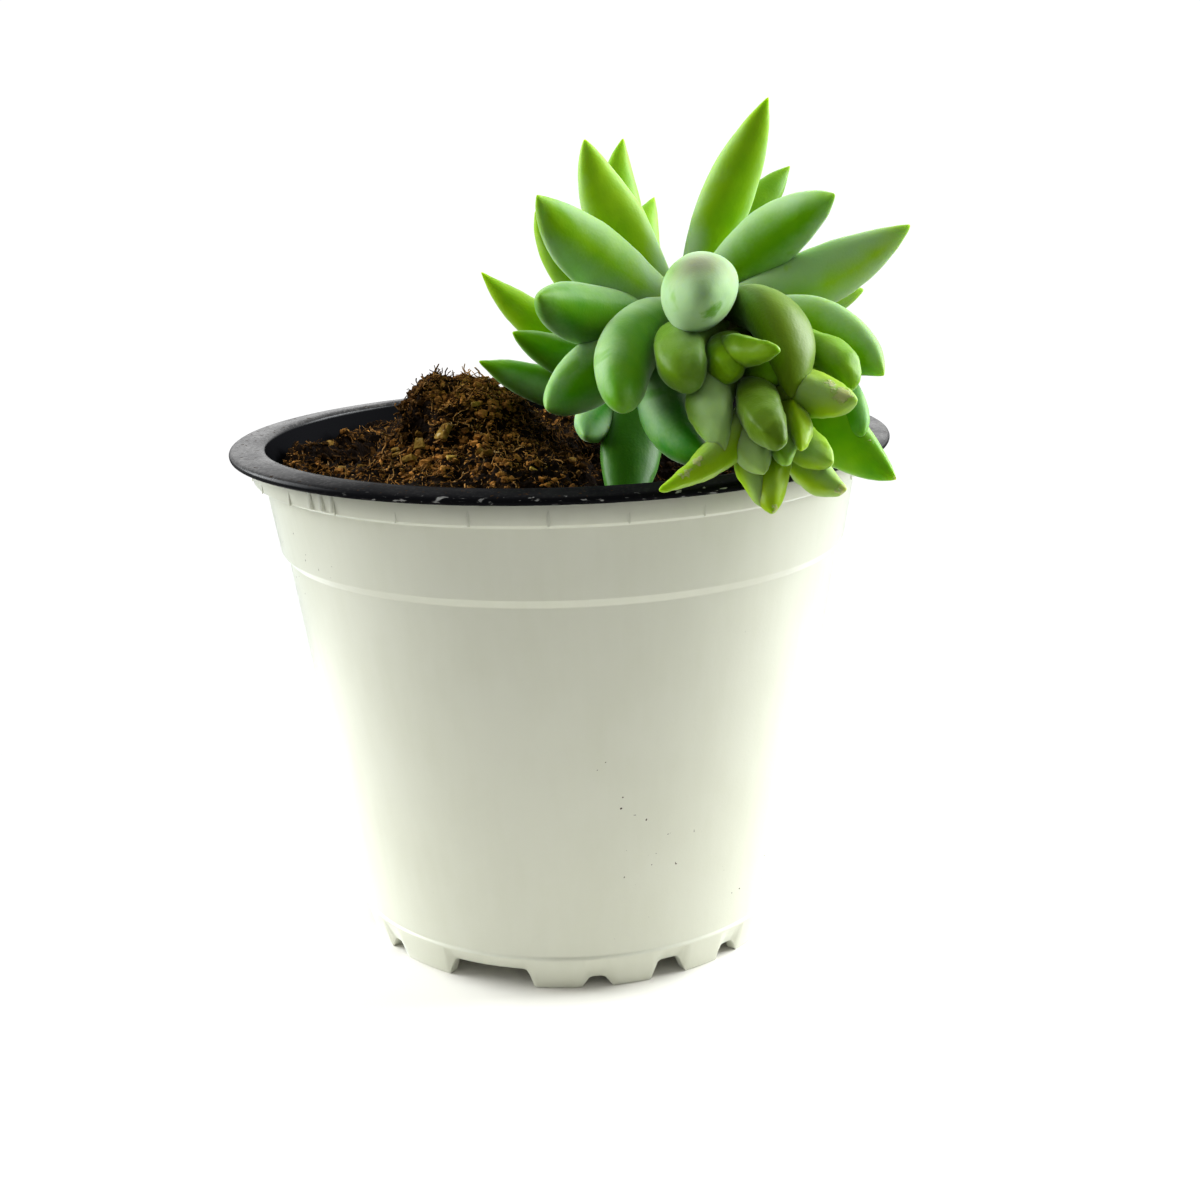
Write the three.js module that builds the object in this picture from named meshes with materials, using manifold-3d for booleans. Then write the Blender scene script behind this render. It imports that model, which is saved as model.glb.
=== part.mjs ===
// A burros tail plant in a thin two-layer nursery pot, in millimetres with +Z up.
// The pot's axis is upright, its feet stand on Z = 0, and -Y is the side that the shoot hangs over.

import * as THREE from 'three';
import { mergeVertices } from 'three/addons/utils/BufferGeometryUtils.js';
import Module from 'manifold-3d';

const wasm = await Module();
wasm.setup();

// ---- Driving dimensions ----------------------------------------------------------------------

const GAP = 0.3; // clearance between pieces that touch
const POT_AXIS_Y = 2.75; // puts the origin under the middle of the pot and plant together

// Pot
const POT_SIDES = 56;
const WALL = 0.8; // thickness of the outer layer
const LINING = 0.7; // thickness of the inner layer
const FOOT_RADIUS = 34.8;
const FOOT_BAND_RADIUS = 36.4;
const FOOT_BAND_TOP = 5.5;
const FOOT_WALL = 1.5;
const FLOOR_BOTTOM = 3.6;
const LOWER_LEDGE = { z: 63.2, radius: 44.4, rise: 1.3, out: 1.1 };
const UPPER_LEDGE = { z: 75.2, radius: 47.2, rise: 0.7, out: 1.8 };
const COLLAR_RADIUS = 49.5;
const RIM = { radius: 52.5, inner: 46.8, top: 81, underside: 79.4 };
const DRAIN_RING_RADIUS = 20;
const DRAIN_HOLES = 6;
const DRAIN_RADIUS = 3;
const CENTRE_DRAIN_RADIUS = 4;

const NOTCH_SLANT = 2.5; // degrees by which a notch is narrower at each end of its roof
const NOTCH_INNER = 28.5; // radii between which a notch is cut, through the foot ring
const NOTCH_OUTER = 40.8;

// Notches between the feet: middle and width in degrees round from the front, height in mm
const FOOT_NOTCHES = [
  { at: -82.5, width: 24, height: 3 },
  { at: -54.8, width: 7.5, height: 2 },
  { at: -23.5, width: 24, height: 3 },
  { at: 5.2, width: 7.5, height: 1.8 },
  { at: 24.2, width: 9.5, height: 3 },
  { at: 43, width: 8, height: 2.2 },
  { at: 77, width: 24, height: 3 },
  { at: 108, width: 8, height: 2 },
  { at: 136, width: 24, height: 3 },
  { at: 165, width: 9.5, height: 2.4 },
  { at: 190, width: 8, height: 2 },
  { at: 217, width: 24, height: 3 },
  { at: 247, width: 8, height: 2 },
];

// Soil: an even level with low rounded heaps on it
const SOIL_LEVEL = 78;
const SOIL_SIDES = 56;
const SOIL_RINGS = 12;
const SOIL_EDGE = 44.5; // radius at which the height of its edge is taken
const SOIL_EDGE_TOP = 79.5; // the edge is never higher than this
const SOIL_HEAPS = [
  { x: -16, y: 3, height: 10, reach: 13, steep: 2 },
  { x: -13, y: 3, height: 3, reach: 6, steep: 1 },
  { x: -5, y: -14, height: 3, reach: 9, steep: 1 },
  { x: 16, y: -27, height: -5, reach: 17, steep: 1 },
  { x: 26, y: 16, height: -2.5, reach: 18, steep: 1 },
  { x: -34, y: 8, height: -1.5, reach: 10, steep: 1 },
];

// Stem: the middle line from inside the soil to the tip of the drooping shoot
const STEM_RADIUS = 3.2;
const STEM_SIDES = 12;
const STEM_POINTS = [
  [12, 4, 60],
  [13, 3, 78],
  [15, 1, 90],
  [18, -6, 99],
  [21, -17, 101],
  [25, -28, 98.5],
  [29, -38, 93],
  [31, -46, 86.5],
];
const SHOOT_START = 68; // mm along the stem where the young shoot takes over

// Leaf outlines: where a leaf is widest, how narrow its foot is, how pointed it grows towards its
// end, and how sharp its very tip is, from 0.5 for round to 1 for sharp
const SHARP = { widest: 0.54, foot: 0.4, point: 1.75, end: 0.9 };
const BLUNT = { widest: 0.56, foot: 0.45, point: 2.1, end: 0.75 };
const ROUND = { widest: 0.58, foot: 0.5, point: 2.4, end: 0.6 };

// Mature leaves: mm along the stem, the tip, how far the leaf's middle is bowed off the straight
// line from foot to tip, its greatest width and thickness, and its outline where it isn't sharp
const MATURE_LEAVES = [
  { name: 'leaf_top', at: 47, tip: [33, -8, 132], bow: [-0.3, 1.5, -0.5], width: 8.6, thick: 7 },
  { name: 'leaf_top_behind', at: 41, tip: [38.5, 8, 121.5], bow: [-0.5, 0, 0.5], width: 8.5, thick: 6.5 },
  { name: 'leaf_upper_right', at: 49, tip: [40, -28, 118], bow: [1, 3, 1.5], width: 9.8, thick: 7.8 },
  { name: 'leaf_right', at: 55, tip: [52.5, -20, 113], bow: [1, 2, -2], width: 10.2, thick: 7.4 },
  { name: 'leaf_right_behind', at: 31, tip: [50.5, 7, 101.5], bow: [-0.5, 1.5, 0],
    width: 8.5, thick: 6.6, form: BLUNT },
  { name: 'leaf_upper_left', at: 46, tip: [5, -5, 126.5], bow: [-1.5, 1.5, -1], width: 10, thick: 7.4 },
  { name: 'leaf_back_left', at: 38, tip: [11.5, 8, 126.5], bow: [-3, 0, -0.5], width: 8.6, thick: 6.6 },
  { name: 'leaf_back', at: 33, tip: [17, 18, 117], bow: [-2.5, -1, 1], width: 7.4, thick: 6 },
  { name: 'leaf_left', at: 50, tip: [-2.5, -25, 119], bow: [-2, 2.5, -1], width: 10.6, thick: 7.8 },
  { name: 'leaf_left_behind', at: 40, tip: [-3, -5, 116], bow: [-2, 2, -2], width: 9.6, thick: 7 },
  { name: 'leaf_far_left', at: 30, tip: [-12, 2, 106.5], bow: [-1, 2, -2], width: 8.8, thick: 6.8 },
  { name: 'leaf_left_blunt', at: 46, tip: [-2.5, -35, 105.5], bow: [-2, 1.5, -1.5],
    width: 9.4, thick: 8.4, form: BLUNT },
  { name: 'leaf_left_middle', at: 28, tip: [-7, -10, 98], bow: [-1, 1.5, 0], width: 8.8, thick: 6.8 },
  { name: 'leaf_left_low', at: 24, tip: [-12.5, -8, 93.5], bow: [-1, 2, -0.5], width: 8.8, thick: 6.6 },
  { name: 'leaf_front_left', at: 50, tip: [-2, -35, 89.5], bow: [-1.5, 1.5, -0.5],
    width: 9.8, thick: 7.8, form: BLUNT },
  { name: 'leaf_low_left', at: 32, tip: [3.5, -26, 84], bow: [-1, 0.5, -0.5],
    width: 9, thick: 6.8, form: BLUNT },
  { name: 'leaf_front_drop', at: 50, tip: [8.5, -50, 91.5], bow: [-3, 0.5, 3],
    width: 9.4, thick: 8.2, form: ROUND },
  { name: 'leaf_facing', at: 56, tip: [19, -52, 106], bow: [0, 0.5, 1.5],
    width: 12, thick: 10.6, form: ROUND },
  { name: 'leaf_low_front', at: 39, tip: [9, -33, 73], bow: [-1.5, 0.5, 0],
    width: 10, thick: 7.6, form: BLUNT },
  { name: 'leaf_under', at: 58, tip: [20.5, -46, 83.5], bow: [-6, 1.5, -1.5],
    width: 9.8, thick: 7.6, form: BLUNT },
  { name: 'leaf_arching', at: 61, tip: [31, -48, 92], bow: [3, -1, 6.5], width: 10, thick: 7.6, form: BLUNT },
  { name: 'leaf_right_drop', at: 60, tip: [46, -36, 93], bow: [2.5, 3.5, 2.2], width: 10.4, thick: 7.8 },
  { name: 'leaf_right_under', at: 64, tip: [42, -42, 85.5], bow: [3, 3, -0.5],
    width: 9.6, thick: 6.8, form: BLUNT },
  { name: 'leaf_right_low', at: 68, tip: [46, -46, 80], bow: [1, 2.5, -2], width: 9.6, thick: 7.2 },
  { name: 'leaf_back_right', at: 35, tip: [32, 22, 106], bow: [1, -1, 1.5], width: 8.6, thick: 6.6 },
  { name: 'leaf_back_low', at: 27, tip: [19, 31, 94], bow: [0, 0, 2], width: 8.6, thick: 6.6 },
  { name: 'leaf_right_far', at: 24, tip: [42, 11, 90], bow: [0, 0, 2], width: 8.6, thick: 6.6 },
];

// Young leaves of the drooping shoot, given in the same way
const YOUNG_LEAVES = [
  { at: 66, tip: [18.5, -49, 94.2], bow: [-4.2, 0.5, 1.8], width: 8.2, thick: 7, form: ROUND },
  { at: 68, tip: [27.5, -54, 98.5], bow: [-1, 0, 1.5], width: 5, thick: 4.6, form: BLUNT },
  { at: 72, tip: [21.5, -53, 86], bow: [-3, 0, 1.5], width: 7.4, thick: 6, form: BLUNT },
  { at: 76, tip: [28.5, -58, 87.5], bow: [-1.5, 0, 0.5], width: 6.4, thick: 5.8, form: ROUND },
  { at: 78, tip: [31.5, -55, 86], bow: [1.5, 0.5, 0], width: 3.6, thick: 4.2, form: BLUNT },
  { at: 68, tip: [39.5, -45, 92.5], bow: [3, 2, 2], width: 5.8, thick: 5.2, form: ROUND },
  { at: 74, tip: [39.5, -51, 92], bow: [-1, -0.5, -1.5], width: 7.8, thick: 6.4, form: BLUNT },
  { at: 80, tip: [36, -53, 84], bow: [-0.5, 1, -2], width: 5.6, thick: 5, form: BLUNT },
  { at: 82, tip: [38, -52, 80], bow: [-1, 1.5, -2.5], width: 5.6, thick: 5, form: BLUNT },
  { at: 83, tip: [27.5, -55, 78], bow: [0, 0.5, -0.5], width: 5.2, thick: 5, form: BLUNT },
  { at: 80, tip: [26.5, -53.5, 78.5], bow: [-1.5, 0, 0.5], width: 4.8, thick: 4.6, form: BLUNT },
  { at: 78, tip: [26.5, -55, 83], bow: [-1.5, 0.5, -0.5], width: 6.2, thick: 5.4, form: BLUNT },
  { at: 84, tip: [29.5, -55, 84.5], bow: [0, 0.2, -0.5], width: 4, thick: 3.8, form: BLUNT },
  { at: 76, tip: [12.5, -58, 82], bow: [2.5, -1, -1.5], width: 5.8, thick: 4.8 },
  { at: 68, tip: [24, -50, 96], bow: [-1.5, 0, 0.5], width: 7, thick: 5, form: ROUND },
  { at: 70, tip: [29.5, -47, 94.5], bow: [0.5, 0, 0.5], width: 8, thick: 5, form: ROUND },
];

const MATURE_GRID = { stations: 8, sides: 10 }; // rings along a leaf and points round it
const YOUNG_GRID = { stations: 6, sides: 8 };
const TIP_CROWDING = 1.5; // how much closer together the rings are near the tip
const FLAT_SHARE = 0.42; // share of a leaf's thickness on its flatter face

// ---- Joining and cutting closed meshes ---------------------------------------------------------

function toSolid(geometry) {
  geometry.deleteAttribute('normal');
  geometry.deleteAttribute('uv');
  const merged = mergeVertices(geometry, 1e-4);
  const vertProperties = new Float32Array(merged.attributes.position.array);
  const triVerts = new Uint32Array(merged.index.array);
  return new wasm.Manifold(new wasm.Mesh({ numProp: 3, vertProperties, triVerts }));
}

function toGeometry(solid) {
  const mesh = solid.getMesh();
  const geometry = new THREE.BufferGeometry();
  geometry.setAttribute('position', new THREE.BufferAttribute(new Float32Array(mesh.vertProperties), 3));
  geometry.setIndex(new THREE.BufferAttribute(new Uint32Array(mesh.triVerts), 1));
  return geometry;
}

function largestPiece(solid) {
  const pieces = solid.decompose();
  return pieces.reduce((best, piece) => (piece.volume() > best.volume() ? piece : best));
}

function joined(solids) {
  return solids.reduce((whole, solid) => whole.add(solid));
}

// A closed body through rings of points, each ring running clockwise seen from the far end, with a
// point in the middle of either end
function ringSolid(rings, nearPoint, farPoint) {
  const sides = rings[0].length;
  const near = rings.length * sides;
  const index = [];
  for (let side = 0; side < sides; side += 1) {
    const next = (side + 1) % sides;
    for (let ring = 0; ring + 1 < rings.length; ring += 1) {
      const [a, b] = [ring * sides + side, ring * sides + next];
      const [c, d] = [a + sides, b + sides];
      index.push(a, d, b, a, c, d);
    }
    index.push(near, side, next, near + 1, near - sides + next, near - sides + side);
  }
  const geometry = new THREE.BufferGeometry().setFromPoints([...rings.flat(), nearPoint, farPoint]);
  geometry.setIndex(index);
  return toSolid(geometry);
}

// ---- Pot -----------------------------------------------------------------------------------------

function lathe(profile, sides) {
  const points = profile.map(([radius, z]) => new THREE.Vector2(radius, z));
  const geometry = new THREE.LatheGeometry(points, sides);
  geometry.rotateX(Math.PI / 2);
  return geometry;
}

// A direction in the plan, in degrees round from the front (-Y) towards +X
function roundFromFront(degrees) {
  const angle = THREE.MathUtils.degToRad(degrees);
  return new THREE.Vector2(Math.sin(angle), -Math.cos(angle));
}

function outerWallOutline() {
  const bandTop = LOWER_LEDGE.z + LOWER_LEDGE.rise;
  const collarFoot = UPPER_LEDGE.z + UPPER_LEDGE.rise;
  return [
    [FOOT_BAND_RADIUS, FOOT_BAND_TOP],
    [FOOT_BAND_RADIUS - 0.3, FOOT_BAND_TOP + 0.3],
    [LOWER_LEDGE.radius, LOWER_LEDGE.z],
    [LOWER_LEDGE.radius + LOWER_LEDGE.out, bandTop],
    [UPPER_LEDGE.radius, UPPER_LEDGE.z],
    [UPPER_LEDGE.radius + UPPER_LEDGE.out, collarFoot],
    [COLLAR_RADIUS, RIM.underside - GAP],
  ];
}

function footNotch({ at, width, height }) {
  const corner = (degrees, radius, z) => {
    const { x, y } = roundFromFront(degrees).multiplyScalar(radius);
    return [x, y, z];
  };
  const corners = [];
  for (const [half, z] of [[width / 2, -1], [width / 2 - NOTCH_SLANT, height]]) {
    corners.push(corner(at - half, NOTCH_INNER, z), corner(at - half, NOTCH_OUTER, z));
    corners.push(corner(at + half, NOTCH_OUTER, z), corner(at + half, NOTCH_INNER, z));
  }
  return toSolid(boxFromCorners(corners));
}

// A closed six-sided block: four corners of its floor, then the four above them
function boxFromCorners(corners) {
  const faces = [
    [0, 3, 2, 1], [4, 5, 6, 7], [0, 1, 5, 4], [1, 2, 6, 5], [2, 3, 7, 6], [3, 0, 4, 7],
  ];
  const geometry = new THREE.BufferGeometry();
  geometry.setAttribute('position', new THREE.Float32BufferAttribute(corners.flat(), 3));
  geometry.setIndex(faces.flatMap(([a, b, c, d]) => [a, b, c, a, c, d]));
  return geometry;
}

function drainHoles() {
  const hole = (radius, x, y) => {
    const geometry = new THREE.CylinderGeometry(radius, radius, 8, 16);
    geometry.rotateX(Math.PI / 2);
    geometry.translate(x, y, FLOOR_BOTTOM + 1);
    return toSolid(geometry);
  };
  const holes = [hole(CENTRE_DRAIN_RADIUS, 0, 0)];
  for (let i = 0; i < DRAIN_HOLES; i += 1) {
    const place = roundFromFront((360 / DRAIN_HOLES) * i).multiplyScalar(DRAIN_RING_RADIUS);
    holes.push(hole(DRAIN_RADIUS, place.x, place.y));
  }
  return joined(holes);
}

function potOuterLayer() {
  const outer = outerWallOutline();
  const inner = outer.map(([radius, z]) => [radius - WALL, z]).reverse();
  inner.splice(-2, 2, [FOOT_BAND_RADIUS - WALL - 0.4, FLOOR_BOTTOM + WALL]);
  const profile = [
    [0, FLOOR_BOTTOM],
    [FOOT_RADIUS - FOOT_WALL, FLOOR_BOTTOM],
    [FOOT_RADIUS - FOOT_WALL - 0.3, 0],
    [FOOT_RADIUS, 0],
    ...outer,
    ...inner,
    [0, FLOOR_BOTTOM + WALL],
  ];
  let shell = toSolid(lathe(profile, POT_SIDES));
  for (const notch of FOOT_NOTCHES) shell = shell.subtract(footNotch(notch));
  return shell.subtract(drainHoles());
}

// The inner layer's outside and inside, both following the outer layer's wall
function liningOutline(offset) {
  const bandTop = LOWER_LEDGE.z + LOWER_LEDGE.rise;
  return [
    [FOOT_BAND_RADIUS - 0.4 - offset, FLOOR_BOTTOM + offset],
    [LOWER_LEDGE.radius - offset, LOWER_LEDGE.z + 0.2],
    [LOWER_LEDGE.radius + LOWER_LEDGE.out - offset, bandTop + 0.4],
    [UPPER_LEDGE.radius - offset, UPPER_LEDGE.z + 0.3],
  ];
}

function potInnerLayer() {
  const outside = liningOutline(WALL + GAP);
  const inside = liningOutline(WALL + GAP + LINING).reverse();
  const round = 0.5; // rounding of the rim's edges
  const profile = [
    [0, FLOOR_BOTTOM + WALL + GAP],
    ...outside,
    [RIM.inner + LINING, RIM.underside],
    [RIM.radius - round, RIM.underside],
    [RIM.radius, RIM.underside + round],
    [RIM.radius, RIM.top - round],
    [RIM.radius - round, RIM.top],
    [RIM.inner + round, RIM.top],
    [RIM.inner, RIM.top - round],
    ...inside,
    [0, FLOOR_BOTTOM + WALL + GAP + LINING],
  ];
  return toSolid(lathe(profile, POT_SIDES)).subtract(drainHoles());
}

// ---- Soil ------------------------------------------------------------------------------------------

function crumbs(x, y) {
  const coarse = Math.sin(0.9 * x + 1.7 * Math.sin(0.5 * y)) * Math.cos(0.8 * y - 0.6 * x);
  const fine = Math.sin(2.1 * x - 0.7 * y) * Math.sin(1.9 * y + 0.4 * x);
  return 0.7 * coarse + 0.45 * fine;
}

function soilHeight(x, y) {
  let z = SOIL_LEVEL;
  for (const heap of SOIL_HEAPS) {
    const away = ((x - heap.x) ** 2 + (y - heap.y) ** 2) / heap.reach ** 2;
    z += heap.height * Math.exp(-(away ** heap.steep));
  }
  return z + crumbs(x, y);
}

// The soil's radius at a height, just inside the inner layer
function soilRadius(z) {
  const inside = liningOutline(WALL + LINING + 2 * GAP);
  inside.push([RIM.inner - GAP, RIM.top]);
  const upper = inside.findIndex((corner) => corner[1] >= z);
  const [[lowRadius, lowZ], [highRadius, highZ]] = inside.slice(upper - 1, upper + 1);
  return THREE.MathUtils.mapLinear(z, lowZ, highZ, lowRadius, highRadius);
}

function soilRing(place) {
  return Array.from({ length: SOIL_SIDES }, (_, i) => {
    const angle = (2 * Math.PI * i) / SOIL_SIDES;
    return new THREE.Vector3(...place(Math.sin(angle), Math.cos(angle)));
  });
}

function soilBody() {
  const corners = liningOutline(WALL + LINING + 2 * GAP).slice(0, 3);
  const rings = corners.map(([radius, z]) => soilRing((x, y) => [radius * x, radius * y, z]));
  const edgeHeight = (x, y) => Math.min(soilHeight(SOIL_EDGE * x, SOIL_EDGE * y), SOIL_EDGE_TOP);
  for (let ring = SOIL_RINGS; ring >= 1; ring -= 1) {
    rings.push(soilRing((x, y) => {
      const edgeZ = edgeHeight(x, y);
      const radius = (soilRadius(edgeZ) * ring) / SOIL_RINGS;
      return [radius * x, radius * y, ring === SOIL_RINGS ? edgeZ : soilHeight(radius * x, radius * y)];
    }));
  }
  const bottom = new THREE.Vector3(0, 0, corners[0][1]);
  return ringSolid(rings, bottom, new THREE.Vector3(0, 0, soilHeight(0, 0)));
}

// ---- Stem ------------------------------------------------------------------------------------------

const stemPoints = STEM_POINTS.map((point) => new THREE.Vector3(...point));
const stemLengths = [0];
for (let i = 1; i < stemPoints.length; i += 1) {
  stemLengths.push(stemLengths[i - 1] + stemPoints[i].distanceTo(stemPoints[i - 1]));
}
const STEM_LENGTH = stemLengths.at(-1);

// The stem's middle line and its direction, mm along it
function onStem(distance) {
  let i = 1;
  while (i < stemLengths.length - 1 && stemLengths[i] < distance) i += 1;
  const span = stemLengths[i] - stemLengths[i - 1];
  const share = (distance - stemLengths[i - 1]) / span;
  const direction = stemPoints[i].clone().sub(stemPoints[i - 1]).normalize();
  return { point: stemPoints[i - 1].clone().lerp(stemPoints[i], share), direction };
}

function stemTube(from, to, radius) {
  const middle = [];
  for (let distance = from; distance < to - 3; distance += 6) middle.push(onStem(distance).point);
  middle.push(onStem(to).point);
  const path = new THREE.CatmullRomCurve3(middle);
  const section = new THREE.Shape();
  for (let i = 0; i < STEM_SIDES; i += 1) {
    const angle = (2 * Math.PI * i) / STEM_SIDES;
    const [x, y] = [radius * Math.cos(angle), radius * Math.sin(angle)];
    if (i === 0) section.moveTo(x, y);
    else section.lineTo(x, y);
  }
  section.closePath();
  const steps = middle.length * 2;
  return toSolid(new THREE.ExtrudeGeometry(section, { steps, bevelEnabled: false, extrudePath: path }));
}

// ---- Leaves ----------------------------------------------------------------------------------------

// Half width of a leaf along it, as a share of its greatest half width
function outline(along, form) {
  if (along < form.widest) {
    const rise = Math.sin((Math.PI / 2) * (along / form.widest)) ** 1.3;
    return form.foot + (1 - form.foot) * rise;
  }
  return (1 - ((along - form.widest) / (1 - form.widest)) ** form.point) ** form.end;
}

// Where a leaf lies: its own axes run from foot to tip (X) and towards its hollow side (Y), about the
// middle of its bowed middle line. Its flatter face is then rolled to look along the stem.
function leafPlace(leaf) {
  const { point: foot, direction } = onStem(leaf.at);
  const tip = new THREE.Vector3(...leaf.tip);
  const straight = tip.distanceTo(foot);
  const xAxis = tip.clone().sub(foot).normalize();
  const bow = new THREE.Vector3(...leaf.bow);
  bow.addScaledVector(xAxis, -bow.dot(xAxis));
  const yAxis = bow.clone().negate().normalize();
  const zAxis = xAxis.clone().cross(yAxis);
  const bend = 4 * Math.atan((2 * bow.length()) / straight);
  const middle = foot.clone().lerp(tip, 0.5).add(bow);
  return {
    bend,
    length: (straight * (bend / 2)) / Math.sin(bend / 2),
    roll: Math.atan2(direction.dot(zAxis), direction.dot(yAxis)),
    matrix: new THREE.Matrix4().makeBasis(xAxis, yAxis, zAxis).setPosition(middle),
  };
}

// A leaf as a closed body; grow makes it that much fatter all round
function leafSolid(leaf, grid, grow = 0) {
  const { bend, length, roll, matrix } = leafPlace(leaf);
  const curve = bend / length;
  const place = (along, across, depth) => {
    const x = (along - 0.5) * (length + 2 * grow);
    const y = depth * Math.cos(roll) - across * Math.sin(roll);
    const z = depth * Math.sin(roll) + across * Math.cos(roll);
    const turn = x * curve;
    const bentX = (1 / curve - y) * Math.sin(turn);
    const bentY = y * Math.cos(turn) + (1 - Math.cos(turn)) / curve;
    return new THREE.Vector3(bentX, bentY, z).applyMatrix4(matrix);
  };
  const rings = [];
  for (let station = 0; station < grid.stations; station += 1) {
    const along = 1 - (1 - station / grid.stations) ** TIP_CROWDING;
    const share = outline(along, leaf.form ?? SHARP);
    rings.push(Array.from({ length: grid.sides }, (_, side) => {
      const angle = (2 * Math.PI * (side + 0.5)) / grid.sides;
      const half = leaf.thick * (Math.sin(angle) > 0 ? FLAT_SHARE : 1 - FLAT_SHARE);
      const across = Math.cos(angle) * (share * (leaf.width / 2) + grow);
      return place(along, across, Math.sin(angle) * (share * half + grow));
    }));
  }
  return ringSolid(rings, place(0, 0, 0), place(1, 0, 0));
}

function shootTip(grow = 0) {
  const core = stemTube(SHOOT_START - grow, STEM_LENGTH, STEM_RADIUS + grow);
  return joined([core, ...YOUNG_LEAVES.map((leaf) => leafSolid(leaf, YOUNG_GRID, grow))]);
}

function boxesMeet(a, b) {
  const [first, second] = [a.boundingBox(), b.boundingBox()];
  return [0, 1, 2].every((k) => first.min[k] < second.max[k] && second.min[k] < first.max[k]);
}

// Neighbouring leaves press flats into each other: each is cut back from those before it
function matureLeaves(stem, shoot) {
  const before = [stem, shoot];
  return MATURE_LEAVES.map((leaf) => {
    let solid = leafSolid(leaf, MATURE_GRID);
    for (const other of before) if (boxesMeet(solid, other)) solid = solid.subtract(other);
    const grown = leafSolid(leaf, MATURE_GRID, GAP);
    before.push(grown);
    return { name: leaf.name, solid: largestPiece(solid), grown };
  });
}

// ---- The object --------------------------------------------------------------------------------------

const white = new THREE.MeshStandardMaterial({ color: 0xe9ebe2, roughness: 0.5, metalness: 0 });
const black = new THREE.MeshStandardMaterial({ color: 0x17171a, roughness: 0.4, metalness: 0 });
const brown = new THREE.MeshStandardMaterial({ color: 0x3b2314, roughness: 0.95, metalness: 0 });
const stemGreen = new THREE.MeshStandardMaterial({ color: 0x7d7a45, roughness: 0.7, metalness: 0 });
const leafGreen = new THREE.MeshStandardMaterial({ color: 0x6f9f3c, roughness: 0.45, metalness: 0 });
const youngGreen = new THREE.MeshStandardMaterial({ color: 0x8fb04a, roughness: 0.45, metalness: 0 });

function piece(name, solid, material) {
  const mesh = new THREE.Mesh(toGeometry(solid), material);
  mesh.name = name;
  return mesh;
}

const pottedPlant = new THREE.Group();
pottedPlant.position.y = POT_AXIS_Y;

const stemStart = 6; // mm below which the stem has no root left
const shoot = shootTip();
const grownShoot = shootTip(GAP);
const stem = stemTube(stemStart, SHOOT_START + 2, STEM_RADIUS).subtract(grownShoot);
const grownStem = stemTube(stemStart - GAP, SHOOT_START + 2, STEM_RADIUS + GAP);
const leaves = matureLeaves(grownStem, grownShoot);

// The soil has a plain hole for the stem, and a dent where a drooping leaf rests on it
let soil = soilBody().subtract(grownStem);
for (const { grown } of leaves) soil = soil.subtract(grown);

pottedPlant.add(piece('pot_outer_layer', potOuterLayer(), white));
pottedPlant.add(piece('pot_inner_layer', potInnerLayer(), black));
pottedPlant.add(piece('soil', largestPiece(soil), brown));
pottedPlant.add(piece('stem', largestPiece(stem), stemGreen));
pottedPlant.add(piece('shoot_tip', shoot, youngGreen));
for (const { name, solid } of leaves) pottedPlant.add(piece(name, solid, leafGreen));

export default pottedPlant;
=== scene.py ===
"""Dresses a burros tail plant in a two-layer nursery pot.

Every size in the classes is in millimetres and every direction round the pot is in degrees from its
front (-Y) towards +X. Meshes are made in metres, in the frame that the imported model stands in.
"""

import logging
import math
import random
from dataclasses import dataclass, field
from enum import Enum
from typing import Callable, Dict, Iterable, List, Mapping, Optional, Sequence, Tuple, Union

import bmesh
import bpy
from mathutils import Matrix, Vector
from mathutils.bvhtree import BVHTree

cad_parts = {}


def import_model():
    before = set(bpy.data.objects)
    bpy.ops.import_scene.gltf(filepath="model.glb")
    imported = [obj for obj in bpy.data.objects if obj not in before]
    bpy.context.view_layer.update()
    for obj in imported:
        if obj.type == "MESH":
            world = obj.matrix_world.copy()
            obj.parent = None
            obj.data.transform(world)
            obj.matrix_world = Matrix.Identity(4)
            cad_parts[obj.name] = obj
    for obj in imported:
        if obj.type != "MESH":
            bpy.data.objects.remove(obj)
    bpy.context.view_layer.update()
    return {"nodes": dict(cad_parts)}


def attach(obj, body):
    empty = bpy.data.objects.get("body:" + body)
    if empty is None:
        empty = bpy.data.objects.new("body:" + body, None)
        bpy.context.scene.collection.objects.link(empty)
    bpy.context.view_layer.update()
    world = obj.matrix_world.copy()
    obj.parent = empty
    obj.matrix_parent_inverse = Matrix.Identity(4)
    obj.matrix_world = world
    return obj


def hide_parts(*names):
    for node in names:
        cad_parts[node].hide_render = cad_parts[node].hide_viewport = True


LOG = logging.getLogger("burros_tail")
MM = 0.001
ROOT = "root"
# The pot's own axis stands this far behind the frame's origin, in millimetres.
POT_AXIS_Y = 2.75

Point = Tuple[float, float, float]
Colour = Tuple[float, float, float, float]
Profile = Sequence[Tuple[float, float]]


# ---- Shader graphs -------------------------------------------------------------------------------


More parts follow.
